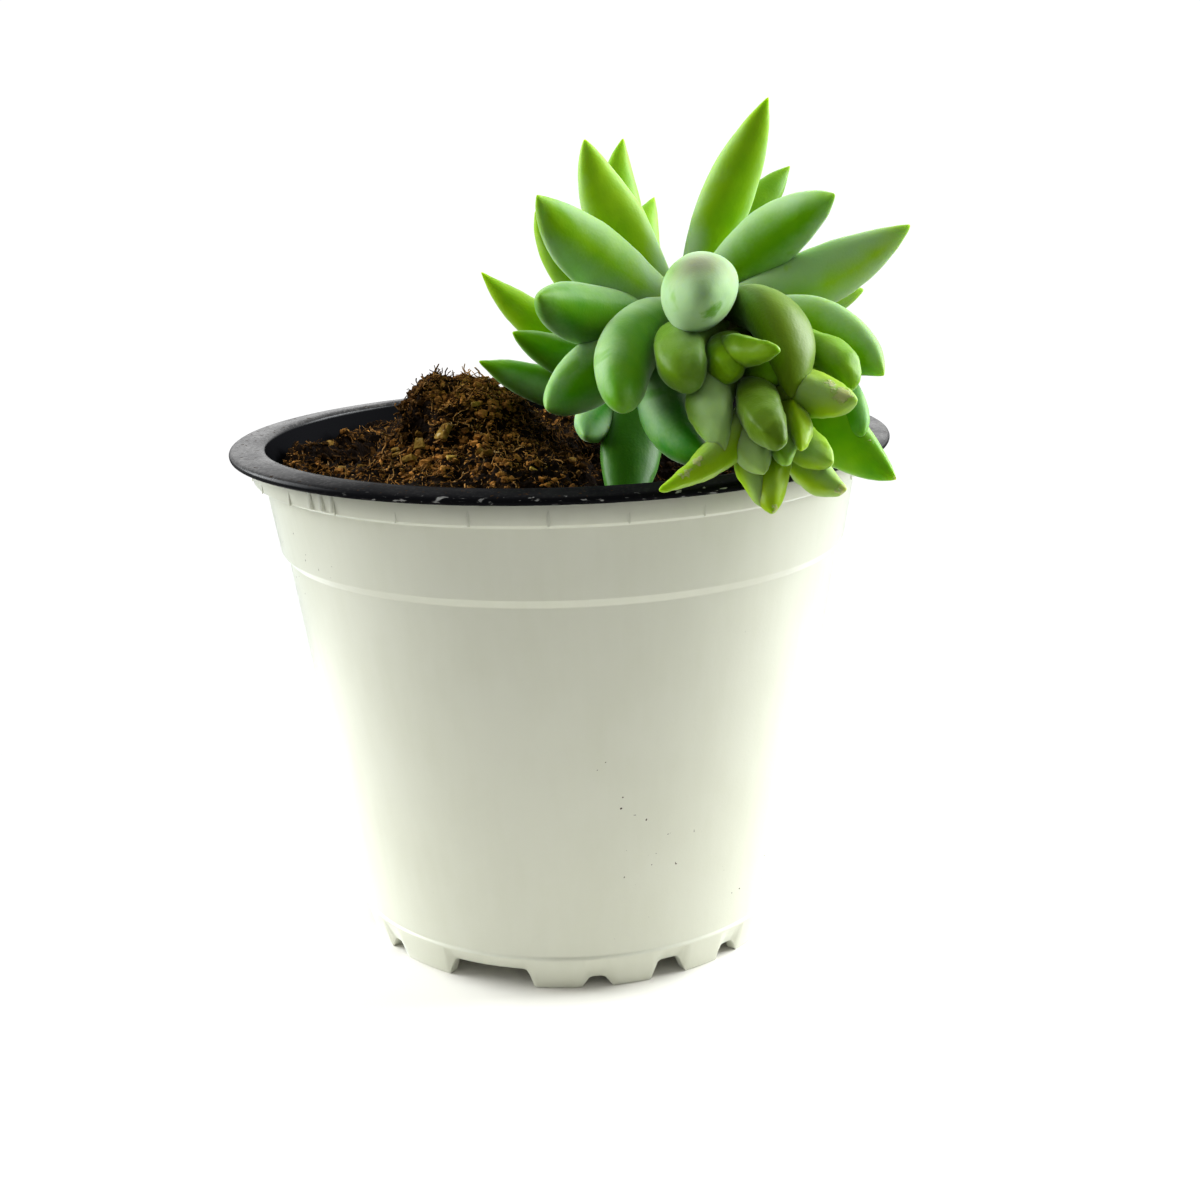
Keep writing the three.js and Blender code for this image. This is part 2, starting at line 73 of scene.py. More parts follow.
@dataclass(frozen=True)
class Value:
    """An output socket that takes part in arithmetic.

    Attributes:
        graph: the graph that the socket belongs to.
        socket: the socket itself.
    """

    graph: "Graph"
    socket: bpy.types.NodeSocket

    def __add__(self, other: "Operand") -> "Value":
        """Sum of two values."""
        return self.graph.math("ADD", self, other)

    def __radd__(self, other: "Operand") -> "Value":
        """Sum with a number on the left."""
        return self.graph.math("ADD", other, self)

    def __sub__(self, other: "Operand") -> "Value":
        """Difference of two values."""
        return self.graph.math("SUBTRACT", self, other)

    def __rsub__(self, other: "Operand") -> "Value":
        """Difference with a number on the left."""
        return self.graph.math("SUBTRACT", other, self)

    def __mul__(self, other: "Operand") -> "Value":
        """Product of two values."""
        return self.graph.math("MULTIPLY", self, other)

    def __rmul__(self, other: "Operand") -> "Value":
        """Product with a number on the left."""
        return self.graph.math("MULTIPLY", other, self)

    def step(self, low: float, high: float) -> "Value":
        """Rises smoothly from 0 at low to 1 at high, or falls where high is below low.

        Args:
            low: the value that gives 0.
            high: the value that gives 1.

        Returns:
            The eased share.
        """
        start, end = (low, high) if low < high else (high, low)
        inputs = {"Value": self, "From Min": start, "From Max": end}
        settings = {"interpolation_type": "SMOOTHSTEP"}
        eased = self.graph.value("ShaderNodeMapRange", "Result", settings, inputs)
        return eased if low < high else 1.0 - eased

    def between(self, ends: Tuple[float, float]) -> "Value":
        """Rises smoothly from 0 to 1 between two places that are given in millimetres."""
        return self.step(ends[0] * MM, ends[1] * MM)

    def most(self, other: "Operand") -> "Value":
        """The larger of two values."""
        return self.graph.math("MAXIMUM", self, other)


Operand = Union[Value, float]
Tint = Union[Value, Colour]


class Graph:
    """A node tree to which nodes are added."""

    def __init__(self, tree: bpy.types.NodeTree) -> None:
        """Takes a node tree."""
        self.tree = tree

    def node(self, kind: str, settings: Mapping, inputs: Mapping) -> bpy.types.Node:
        """Adds a node.

        Args:
            kind: the node's type.
            settings: its properties, set before its inputs.
            inputs: numbers, colours or values for its input sockets, by name or number.

        Returns:
            The new node.
        """
        made = self.tree.nodes.new(kind)
        for key, setting in settings.items():
            setattr(made, key, setting)
        self.feed(made, inputs)
        return made

    def feed(self, node: bpy.types.Node, inputs: Mapping) -> None:
        """Links or sets a node's input sockets.

        Args:
            node: the node.
            inputs: numbers, colours or values for its input sockets, by name or number.
        """
        for key, given in inputs.items():
            if isinstance(given, Value):
                self.tree.links.new(given.socket, node.inputs[key])
            else:
                node.inputs[key].default_value = given

    def value(
        self,
        kind: str,
        output: Union[str, int],
        settings: Optional[Mapping] = None,
        inputs: Optional[Mapping] = None,
    ) -> Value:
        """Adds a node and gives one of its outputs."""
        made = self.node(kind, settings or {}, inputs or {})
        return Value(self, made.outputs[output])

    def math(self, operation: str, *operands: Operand) -> Value:
        """Adds a Math node."""
        return self.value("ShaderNodeMath", 0, {"operation": operation}, dict(enumerate(operands)))

    def parts(self, vector: Value) -> Tuple[Value, Value, Value]:
        """Splits a vector.

        Args:
            vector: the vector.

        Returns:
            Its parts along X, Y and Z.
        """
        split = self.node("ShaderNodeSeparateXYZ", {}, {0: vector})
        x, y, z = (Value(self, output) for output in split.outputs)
        return x, y, z


class Skin(Graph):
    """The node tree of one material, ending in its Principled shader."""

    def __init__(self, name: str) -> None:
        """Starts a material.

        Args:
            name: the material's name.
        """
        self.material = bpy.data.materials.new(name)
        self.material.use_nodes = True
        super().__init__(self.material.node_tree)
        self.shader = self.tree.nodes["Principled BSDF"]
        self.place = self.value("ShaderNodeTexCoord", "Object")

    def attribute(self, name: str) -> Value:
        """Reads a number that the mesh carries at each point."""
        return self.value("ShaderNodeAttribute", "Fac", {"attribute_name": name})

    def stretched(self, scale: Point) -> Value:
        """Object coordinates stretched by a factor along each axis."""
        return self.value("ShaderNodeMapping", 0, {}, {"Vector": self.place, "Scale": scale})

    def noise(
        self,
        size: float,
        detail: float = 2.0,
        distortion: float = 0.0,
        place: Optional[Value] = None,
    ) -> Value:
        """Adds cloudy noise.

        Args:
            size: how large its largest blotches are, in millimetres.
            detail: how many finer layers it has.
            distortion: how much it is swirled.
            place: the coordinates that it reads, or None for the object's own.

        Returns:
            A value round 0.5.
        """
        inputs = {
            "Vector": place or self.place,
            "Scale": 1.0 / (size * MM),
            "Detail": detail,
            "Distortion": distortion,
        }
        return self.value("ShaderNodeTexNoise", 0, {}, inputs)

    def mix(self, share: Operand, first: Tint, second: Tint) -> Value:
        """Blends two colours.

        Args:
            share: how much of the second colour there is.
            first: the colour at share 0.
            second: the colour at share 1.

        Returns:
            The blended colour.
        """
        settings = {"data_type": "RGBA", "clamp_factor": True}
        return self.value("ShaderNodeMix", 2, settings, {0: share, 6: first, 7: second})

    def near(self, spot: Point, radius: float, ragged: float) -> Value:
        """Share that is 1 within a spot and falls to 0 at its edge.

        Args:
            spot: the middle of the spot, in millimetres.
            radius: its radius, in millimetres.
            ragged: how ragged its edge is, from 0 for soft to 1.

        Returns:
            The share.
        """
        centre = tuple(part * MM for part in spot)
        settings = {"operation": "DISTANCE"}
        away = self.value("ShaderNodeVectorMath", "Value", settings, {0: self.place, 1: centre})
        waver = self.noise(max(0.5, radius / 2), 3.0) - 0.5
        rough = away + waver * (2.0 * radius * ragged * MM)
        return rough.step(radius * MM, 0.6 * ragged * radius * MM)

    def bump(self, height: Value, depth: float, below: Optional[Value] = None) -> Value:
        """Turns a height into a surface normal.

        Args:
            height: the height, as a share of depth.
            depth: how deep the relief is, in millimetres.
            below: a normal that this one adds to.

        Returns:
            The normal.
        """
        inputs: Dict[str, object] = {"Height": height, "Distance": depth * MM}
        if below is not None:
            inputs["Normal"] = below
        return self.value("ShaderNodeBump", 0, {}, inputs)

    def close(self, **sockets: object) -> bpy.types.Material:
        """Feeds the shader, whose socket names are given with _ for each space.

        Args:
            **sockets: a number, colour or value for each socket.

        Returns:
            The finished material.
        """
        self.feed(self.shader, {key.replace("_", " "): given for key, given in sockets.items()})
        return self.material


def rgb(red: float, green: float, blue: float) -> Colour:
    """A colour from its linear parts."""
    return (red, green, blue, 1.0)


# ---- Finishes ------------------------------------------------------------------------------------


class Stain(Enum):
    """What a spot on a leaf is: its colour, strength, height in millimetres and ragged share."""

    CORK = (rgb(0.42, 0.44, 0.18), 0.85, 0.15, 1.0)
    # Painted reflection: a grey patch where a leaf's top faces the sky.
    BLUSH = (rgb(0.19, 0.19, 0.11), 0.9, 0.0, 0.2)
    RUBBED = (rgb(0.1, 0.3, 0.0), 0.95, 0.0, 0.6)


@dataclass(frozen=True)
class Scar:
    """A spot on a leaf.

    Attributes:
        spot: its middle, in millimetres.
        radius: its radius, in millimetres.
        stain: what it is.
    """

    spot: Point
    radius: float
    stain: Stain


@dataclass(frozen=True)
class LeafFinish:
    """Fleshy leaf skin under a bloom of pale wax that is rubbed off in places, with painted sheen on
    its margins, painted light near its foot and painted shade on leaves in shade.

    Attributes:
        name: the material's name.
        green: the flesh's colour in a leaf that isn't warm at all.
        yellow: the flesh's colour in the warmest leaf.
        foot: its colour at a leaf's foot.
        tip: its colour at a sharp tip.
        wax: the wax's colour, which also paints the sheen on the margins and the light near the foot.
        painted_shade_colour: the colour that painted shade darkens a leaf's flesh towards.
        wax_cover: how much of the flesh the thickest wax hides.
        mottle: size of the blotches in the flesh.
        patch: size of the patches of wax.
        rub: size of the places where wax is rubbed off.
        powder: size of the wax's grains.
        pore: size of the pores.
        pore_depth: depth of the pores.
        scars: the spots on the leaves.
    """

    name: str
    green: Colour
    yellow: Colour
    foot: Colour
    tip: Colour
    wax: Colour
    painted_shade_colour: Colour = rgb(0.03, 0.05, 0.0)
    wax_cover: float = 0.8
    mottle: float = 4.0
    patch: float = 11.0
    rub: float = 8.0
    powder: float = 0.5
    pore: float = 0.4
    pore_depth: float = 0.035
    scars: Tuple[Scar, ...] = ()

    def flesh(self, graph: Skin, along: Value, tint: Value) -> Value:
        """Colours the flesh, with painted shade darkening the green of leaves that lie in shade.

        Args:
            graph: the material's nodes.
            along: how far along its leaf each point is.
            tint: how much colour the leaf's tip has.

        Returns:
            The colour.
        """
        warmth = graph.attribute("warmth") + (graph.noise(self.mottle, 3.0) - 0.5) * 0.35
        colour = graph.mix(warmth, self.green, self.yellow)
        colour = graph.mix(along.step(0.3, 0.02) * 0.7, colour, self.foot)
        colour = graph.mix(along.step(0.93, 1.0) * tint * 0.35, colour, self.tip)
        # Painted shade: the whole green of a leaf that lies in shade is darkened.
        return graph.mix(graph.attribute("age"), colour, self.painted_shade_colour)

    def wax_and_painted_light(self, graph: Skin, along: Value, tint: Value) -> Value:
        """Lays the wax, thinnest on a sharp tip, and paints sheen along the margins and light near the
        foot, where the paleness is partly wax.

        Args:
            graph: the material's nodes.
            along: how far along its leaf each point is.
            tint: how much colour the leaf's tip has.

        Returns:
            How much wax and painted light there is, from 0 to 1.
        """
        near_tip = along.step(0.82, 0.97)
        edge = graph.attribute("margin") * (1.0 - near_tip) + near_tip * 0.7
        bloom = (graph.attribute("bloom") - 0.5) * 0.8
        patches = graph.noise(self.patch, 2.0, 0.4) * 0.7
        powder = (graph.noise(self.powder, 3.0) - 0.5) * 0.08
        # Painted sheen along the margins and painted light near the foot, laid on top of the wax.
        level = patches + bloom + edge * 0.42 + along.step(0.55, 0.15) * 0.25
        bare = along.step(0.8, 1.0) * tint
        kept = graph.noise(self.rub, 3.0, 0.6).step(0.7, 0.62) * (1.0 - bare)
        return (level + powder).step(0.5, 0.95) * (kept * 0.6 + 0.4)

    def build(self) -> bpy.types.Material:
        """Makes the material.

        Returns:
            The finished material.
        """
        graph = Skin(self.name)
        along = graph.attribute("along")
        tint = graph.attribute("tint")
        wax_and_painted_light = self.wax_and_painted_light(graph, along, tint)
        colour = graph.mix(wax_and_painted_light * self.wax_cover, self.flesh(graph, along, tint), self.wax)
        normal = graph.bump(graph.noise(self.pore, 2.0), self.pore_depth)
        for scar in self.scars:
            stain, strength, height, ragged = scar.stain.value
            spot = graph.near(scar.spot, scar.radius, ragged)
            colour = graph.mix(spot * strength, colour, stain)
            if height:
                normal = graph.bump(spot, height, normal)
        return graph.close(
            Base_Color=colour,
            Roughness=0.42 + wax_and_painted_light * 0.2,
            Normal=normal,
            Specular_IOR_Level=0.12,
            Subsurface_Weight=0.5,
            Subsurface_Radius=(0.8, 1.0, 0.05),
            Subsurface_Scale=0.002,
            Sheen_Weight=0.3,
            Sheen_Roughness=0.35,
            Sheen_Tint=rgb(0.8, 1.0, 0.7),
        )


@dataclass(frozen=True)
class StemFinish:
    """Green stem skin that is turning corky brown.

    Attributes:
        green: its colour where it is young.
        cork: its colour where it is corky.
        patch: size of the corky patches.
        crack: width of the cracks in them.
        crack_depth: depth of the cracks.
    """

    green: Colour = rgb(0.2, 0.22, 0.06)
    cork: Colour = rgb(0.16, 0.1, 0.05)
    patch: float = 3.0
    crack: float = 0.6
    crack_depth: float = 0.15

    def build(self) -> bpy.types.Material:
        """Makes the material.

        Returns:
            The finished material.
        """
        graph = Skin("stem")
        corky = graph.noise(self.patch, 4.0).step(0.42, 0.62)
        cracks = graph.noise(self.crack, 3.0, 0.0, graph.stretched((1.0, 1.0, 0.3)))
        colour = graph.mix(corky, self.green, self.cork)
        normal = graph.bump(cracks, self.crack_depth)
        return graph.close(Base_Color=colour, Roughness=0.6 + corky * 0.2, Normal=normal)


@dataclass(frozen=True)
class WallFinish:
    """White moulded plastic with faint mottling, a few specks of soil and a soft shine.

    Attributes:
        white: its colour.
        shade: its colour where it is mottled.
        soil: the specks' colour.
        mottle: size of the mottling.
        streak: width of the upright streaks that moulding left.
        speck: size of the specks.
        specked: size of the patches of specks.
        grain: size of the plastic's grain.
        grain_depth: depth of the grain.
    """

    white: Colour = rgb(0.66, 0.67, 0.56)
    shade: Colour = rgb(0.58, 0.59, 0.46)
    soil: Colour = rgb(0.05, 0.03, 0.015)
    mottle: float = 14.0
    streak: float = 2.0
    speck: float = 0.6
    specked: float = 25.0
    grain: float = 0.5
    grain_depth: float = 0.012

    def build(self) -> bpy.types.Material:
        """Makes the material.

        Returns:
            The finished material.
        """
        graph = Skin("pot_white")
        mottle = (graph.noise(self.mottle, 4.0) - 0.4) * 0.7
        streaks = graph.noise(self.streak, 3.0, 0.0, graph.stretched((1.0, 1.0, 0.12))) - 0.5
        colour = graph.mix(mottle + streaks * 0.4, self.white, self.shade)
        specked = graph.noise(self.specked, 1.0).step(0.6, 0.66)
        specks = graph.noise(self.speck, 0.0).step(0.83, 0.86) * specked
        return graph.close(
            Base_Color=graph.mix(specks, colour, self.soil),
            Roughness=0.36 + streaks * 0.25 + specks * 0.4,
            Normal=graph.bump(graph.noise(self.grain, 3.0), self.grain_depth),
            Sheen_Weight=0.7,
            Sheen_Roughness=0.25,
            Sheen_Tint=rgb(0.92, 1.0, 1.0),
            Subsurface_Weight=0.1,
            Subsurface_Radius=(1.0, 1.0, 0.8),
            Subsurface_Scale=0.001,
        )


@dataclass(frozen=True)
class LiningFinish:
    """Black moulded plastic, dusty and shiny where it faces up and scuffed along its front edge; the
    dust's grey, growing towards the back, is partly painted reflection.

    Attributes:
        black: its colour.
        dust: the dust's colour.
        scuff: the scuffs' colour.
        crumb: the colour of crumbs of soil.
        dust_and_reflection_span: places along Y between which dust and shine grow, from the front to
            the back; the grey there is partly painted reflection.
        front: places along Y between which the scuffs grow, towards the front.
        lip: heights between which the scuffs begin.
        crest: heights between which the rim's upper face begins.
        edge: radii between which the rim's outer edge begins.
        cloud: size of the patches of dust.
        powder: size of the dust's grains.
        crumbs: size of the crumbs.
        streak: size of the scuffs.
        grain: size of the plastic's grain.
        grain_depth: depth of the grain.
    """

    black: Colour = rgb(0.006, 0.006, 0.007)
    dust: Colour = rgb(0.2, 0.19, 0.18)
    scuff: Colour = rgb(0.4, 0.4, 0.38)
    crumb: Colour = rgb(0.03, 0.017, 0.009)
    dust_and_reflection_span: Tuple[float, float] = (-46.0, -20.0)
    front: Tuple[float, float] = (-40.0, -50.0)
    lip: Tuple[float, float] = (78.0, 79.0)
    crest: Tuple[float, float] = (80.2, 80.7)
    edge: Tuple[float, float] = (51.6, 52.2)
    cloud: float = 6.0
    powder: float = 0.5
    crumbs: float = 0.7
    streak: float = 1.0
    grain: float = 0.6
    grain_depth: float = 0.03

    def build(self) -> bpy.types.Material:
        """Makes the material.

        Returns:
            The finished material.
        """
        graph = Skin("pot_black")
        upward = graph.parts(graph.value("ShaderNodeNewGeometry", "Normal"))[2].step(0.6, 0.95)
        subtract = {"operation": "SUBTRACT"}
        axis = (0.0, POT_AXIS_Y * MM, 0.0)
        from_axis = graph.value("ShaderNodeVectorMath", 0, subtract, {0: graph.place, 1: axis})
        x, y, z = graph.parts(from_axis)
        edge = graph.math("SQRT", x * x + y * y).between(self.edge)
        dust_and_reflection = y.between(self.dust_and_reflection_span)
        cloudy = graph.noise(self.cloud, 4.0)
        powder = graph.noise(self.powder, 2.0)
        dusty = upward * ((cloudy - 0.4).most(0.0) * 0.6 + (powder - 0.52).most(0.0) * 1.6)
        # Partly painted reflection: the dusty grey fades towards the front and grows towards the back,
        # where the rim's top reflects the bright surroundings.
        dusty = dusty * (dust_and_reflection * 0.88 + 0.12)
        colour = graph.mix(dusty, self.black, self.dust)
        crumbs = upward * graph.noise(self.crumbs, 1.0).step(0.68, 0.74)
        colour = graph.mix(crumbs, colour, self.crumb)
        streaks = graph.noise(self.streak, 4.0, 0.4, graph.stretched((0.45, 0.45, 1.6)))
        worn = y.between(self.front) * z.between(self.lip)
        scuffed = edge * worn * streaks.step(0.6, 0.68)
        patchy = cloudy * 0.6 + powder * 0.7 + 0.3
        shiny = z.between(self.crest).most(edge * 0.6) * (dust_and_reflection * 0.93 + 0.07) * patchy
        return graph.close(
            Base_Color=graph.mix(scuffed * 0.8, colour, self.scuff),
            Roughness=0.13 + dusty * 0.8 + scuffed * 0.4,
            Normal=graph.bump(graph.noise(self.grain, 3.0), self.grain_depth),
            Specular_IOR_Level=0.0,
            Coat_Weight=shiny * (1.0 - crumbs),
            Coat_Roughness=0.25,
            Coat_IOR=1.3,
        )


class SoilPart(Enum):
    """What a piece of the potting soil is made of, with its material's name."""

    BED = "soil_bed"
    CLOD = "soil_clod"
    THREAD = "soil_thread"
    FIBRE = "soil_fibre"
    CHIP = "soil_chip"


@dataclass(frozen=True)
class SoilFinish:
    """Peat and coir: brown on top and tan in its chips, with the bed nearly black as painted shade
    between the bits.

    Attributes:
        part: what it is the finish of.
        dark: its darkest colour.
        light: its lightest colour.
        fleck: its flecks' colour.
        blotch: size of its blotches.
        grain: size of its grain.
        speckle: size of its flecks.
        relief: depth of its grain.
    """

    part: SoilPart
    dark: Colour
    light: Colour
    fleck: Colour
    blotch: float = 6.0
    grain: float = 0.8
    speckle: float = 1.0
    relief: float = 0.5

    def build(self) -> bpy.types.Material:
        """Makes the material.

        Returns:
            The finished material.
        """
        graph = Skin(self.part.value)
        # Painted shade: colour and flecks darken with the soil's painted shadows.
        lit = graph.attribute("lit")
        blotch = graph.noise(self.blotch, 4.0).step(0.36, 0.64)
        grain = graph.noise(self.grain, 5.0)
        level = blotch * 0.45 + (grain - 0.5) * 1.4 + graph.attribute("tone") * 1.1 - 0.2
        colour = graph.mix(level * lit, self.dark, self.light)
        flecks = graph.noise(self.speckle, 2.0, 0.6).step(0.6, 0.7)
        return graph.close(
            Base_Color=graph.mix(flecks * lit * 0.8, colour, self.fleck),
            Roughness=0.95,
            Normal=graph.bump(grain, self.relief),
            Specular_IOR_Level=0.04,
        )


@dataclass(frozen=True)
class FloorFinish:
    """Plain pale floor."""

    white: Colour = rgb(0.84, 0.82, 0.77)

    def build(self) -> bpy.types.Material:
        """Makes the material."""
        return Skin("floor").close(Base_Color=self.white, Roughness=0.7)


# ---- Modelling -----------------------------------------------------------------------------------


def deselect() -> None:
    """Leaves edit mode and selects nothing."""
    if bpy.context.object is not None and bpy.context.object.mode != "OBJECT":
        bpy.ops.object.mode_set(mode="OBJECT")
    bpy.ops.object.select_all(action="DESELECT")


def take(piece: bpy.types.Object) -> None:
    """Selects one object alone and makes it active.

    Args:
        piece: the object.
    """
    deselect()
    piece.select_set(True)
    bpy.context.view_layer.objects.active = piece


def settle(piece: bpy.types.Object) -> None:
    """Puts an object's place, turn and size into its mesh."""
    take(piece)
    bpy.ops.object.transform_apply(location=True, rotation=True, scale=True)


def modify(piece: bpy.types.Object, kind: str, **settings: object) -> None:
    """Adds a modifier and applies it.

    Args:
        piece: the object to change.
        kind: the modifier's type.
        **settings: the modifier's properties.
    """
    take(piece)
    modifier = piece.modifiers.new(kind.lower(), kind)
    for key, setting in settings.items():
        setattr(modifier, key, setting)
    bpy.ops.object.modifier_apply(modifier=modifier.name)


def choose(test: Callable[[Vector], bool]) -> int:
    """Selects the points of the mesh in edit mode that pass a test, and no others.

    Args:
        test: says whether a point at a place is wanted.

    Returns:
        How many points were selected.
    """
    mesh = bpy.context.edit_object.data
    shape = bmesh.from_edit_mesh(mesh)
    found = 0
    for point in shape.verts:
        point.select = test(point.co)
        found += point.select
    shape.select_flush_mode()
    bmesh.update_edit_mesh(mesh)
    return found


def copied(name: str, mesh: bpy.types.Mesh, place: Matrix) -> bpy.types.Object:
    """An object with a mesh of its own, copied from another and put in its place.

    Args:
        name: the new object's name.
        mesh: the mesh to copy.
        place: where the copy goes.

    Returns:
        The new object.
    """
    piece = bpy.data.objects.new(name, mesh.copy())
    bpy.context.scene.collection.objects.link(piece)
    piece.data.transform(place)
    return piece


def joined(name: str, parts: Sequence[bpy.types.Object]) -> bpy.types.Object:
    """Joins objects into one.

    Args:
        name: the new object's name.
        parts: the objects, of which the first takes in the others.

    Returns:
        The object that holds them all.
    """
    deselect()
    for part in parts:
        part.select_set(True)
    bpy.context.view_layer.objects.active = parts[0]
    bpy.ops.object.join()
    parts[0].name = name
    parts[0].data.name = name
    return parts[0]


def discard(piece: bpy.types.Object) -> None:
    """Removes an object and its mesh.

    Args:
        piece: the object.
    """
    mesh = piece.data
    bpy.data.objects.remove(piece)
    bpy.data.meshes.remove(mesh)


def write_marks(mesh: bpy.types.Mesh, name: str, values: Sequence[float]) -> None:
    """Gives a mesh a number at each of its points, which a finish can read."""
    mesh.attributes.new(name, "FLOAT", "POINT").data.foreach_set("value", values)


def cloud_texture(name: str, size: float) -> bpy.types.Texture:
    """Makes a cloudy texture for displacement.

    Args:
        name: its name.
        size: how large its blotches are, in millimetres.

    Returns:
        The texture.
    """
    texture = bpy.data.textures.new(name, "CLOUDS")
    texture.noise_scale = size * MM
    texture.noise_depth = 3
    return texture


def lathe(profile: Profile, sides: int) -> bpy.types.Object:
    """Extrudes a ring along a profile and closes both of its ends with a flat face.

    Args:
        profile: radius and height of each ring, in millimetres.
        sides: how many sides a ring has.

    Returns:
        The body, about the Z axis.
    """
    deselect()
    radius, height = profile[0]
    bpy.ops.mesh.primitive_circle_add(vertices=sides, radius=radius * MM, enter_editmode=True)
    bpy.ops.transform.translate(value=(0.0, 0.0, height * MM))
    bpy.ops.mesh.edge_face_add()
    bpy.ops.mesh.select_all(action="SELECT")
    bpy.ops.mesh.region_to_loop()
    for next_radius, next_height in profile[1:]:
        move = {"value": (0.0, 0.0, (next_height - height) * MM)}
        bpy.ops.mesh.extrude_edges_move(TRANSFORM_OT_translate=move)
        share = next_radius / radius
        bpy.ops.transform.resize(value=(share, share, 1.0))
        radius, height = next_radius, next_height
    bpy.ops.mesh.edge_face_add()
    close_up()
    return bpy.context.object


def close_up() -> None:
    """Turns all faces of the mesh in edit mode outwards and leaves edit mode."""
    bpy.ops.mesh.select_all(action="SELECT")
    bpy.ops.mesh.normals_make_consistent(inside=False)
    bpy.ops.object.mode_set(mode="OBJECT")


@dataclass
class Dresser:
    """Hands finished pieces over to the frame.

    Attributes:
        finished: names of the pieces that are done.
    """

    finished: List[str] = field(default_factory=list)

    def put(
        self,
        piece: bpy.types.Object,
        material: bpy.types.Material,
        nodes: Iterable[str] = (),
        angle: float = 180.0,
    ) -> None:
        """Smooths a piece, gives it its finish and lets it ride on the object's one body.

        Args:
            piece: the piece, in its place.
            material: its finish.
            nodes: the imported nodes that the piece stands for.
            angle: edges sharper than this many degrees stay sharp.
        """
        take(piece)
        bpy.ops.object.shade_smooth_by_angle(angle=math.radians(angle))
        piece.data.materials.clear()
        piece.data.materials.append(material)
        if nodes:
            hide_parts(*nodes)
        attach(piece, ROOT)
        self.finished.append(piece.name)
        LOG.info("%s: %d faces", piece.name, len(piece.data.polygons))


# ---- Pot -----------------------------------------------------------------------------------------


@dataclass(frozen=True)
class Notch:
    """A gap between two feet.

    Attributes:
        at: its middle, in degrees round from the front.
        width: its width where it is widest, in degrees.
        height: its height in millimetres.
    """

    at: float
    width: float
    height: float


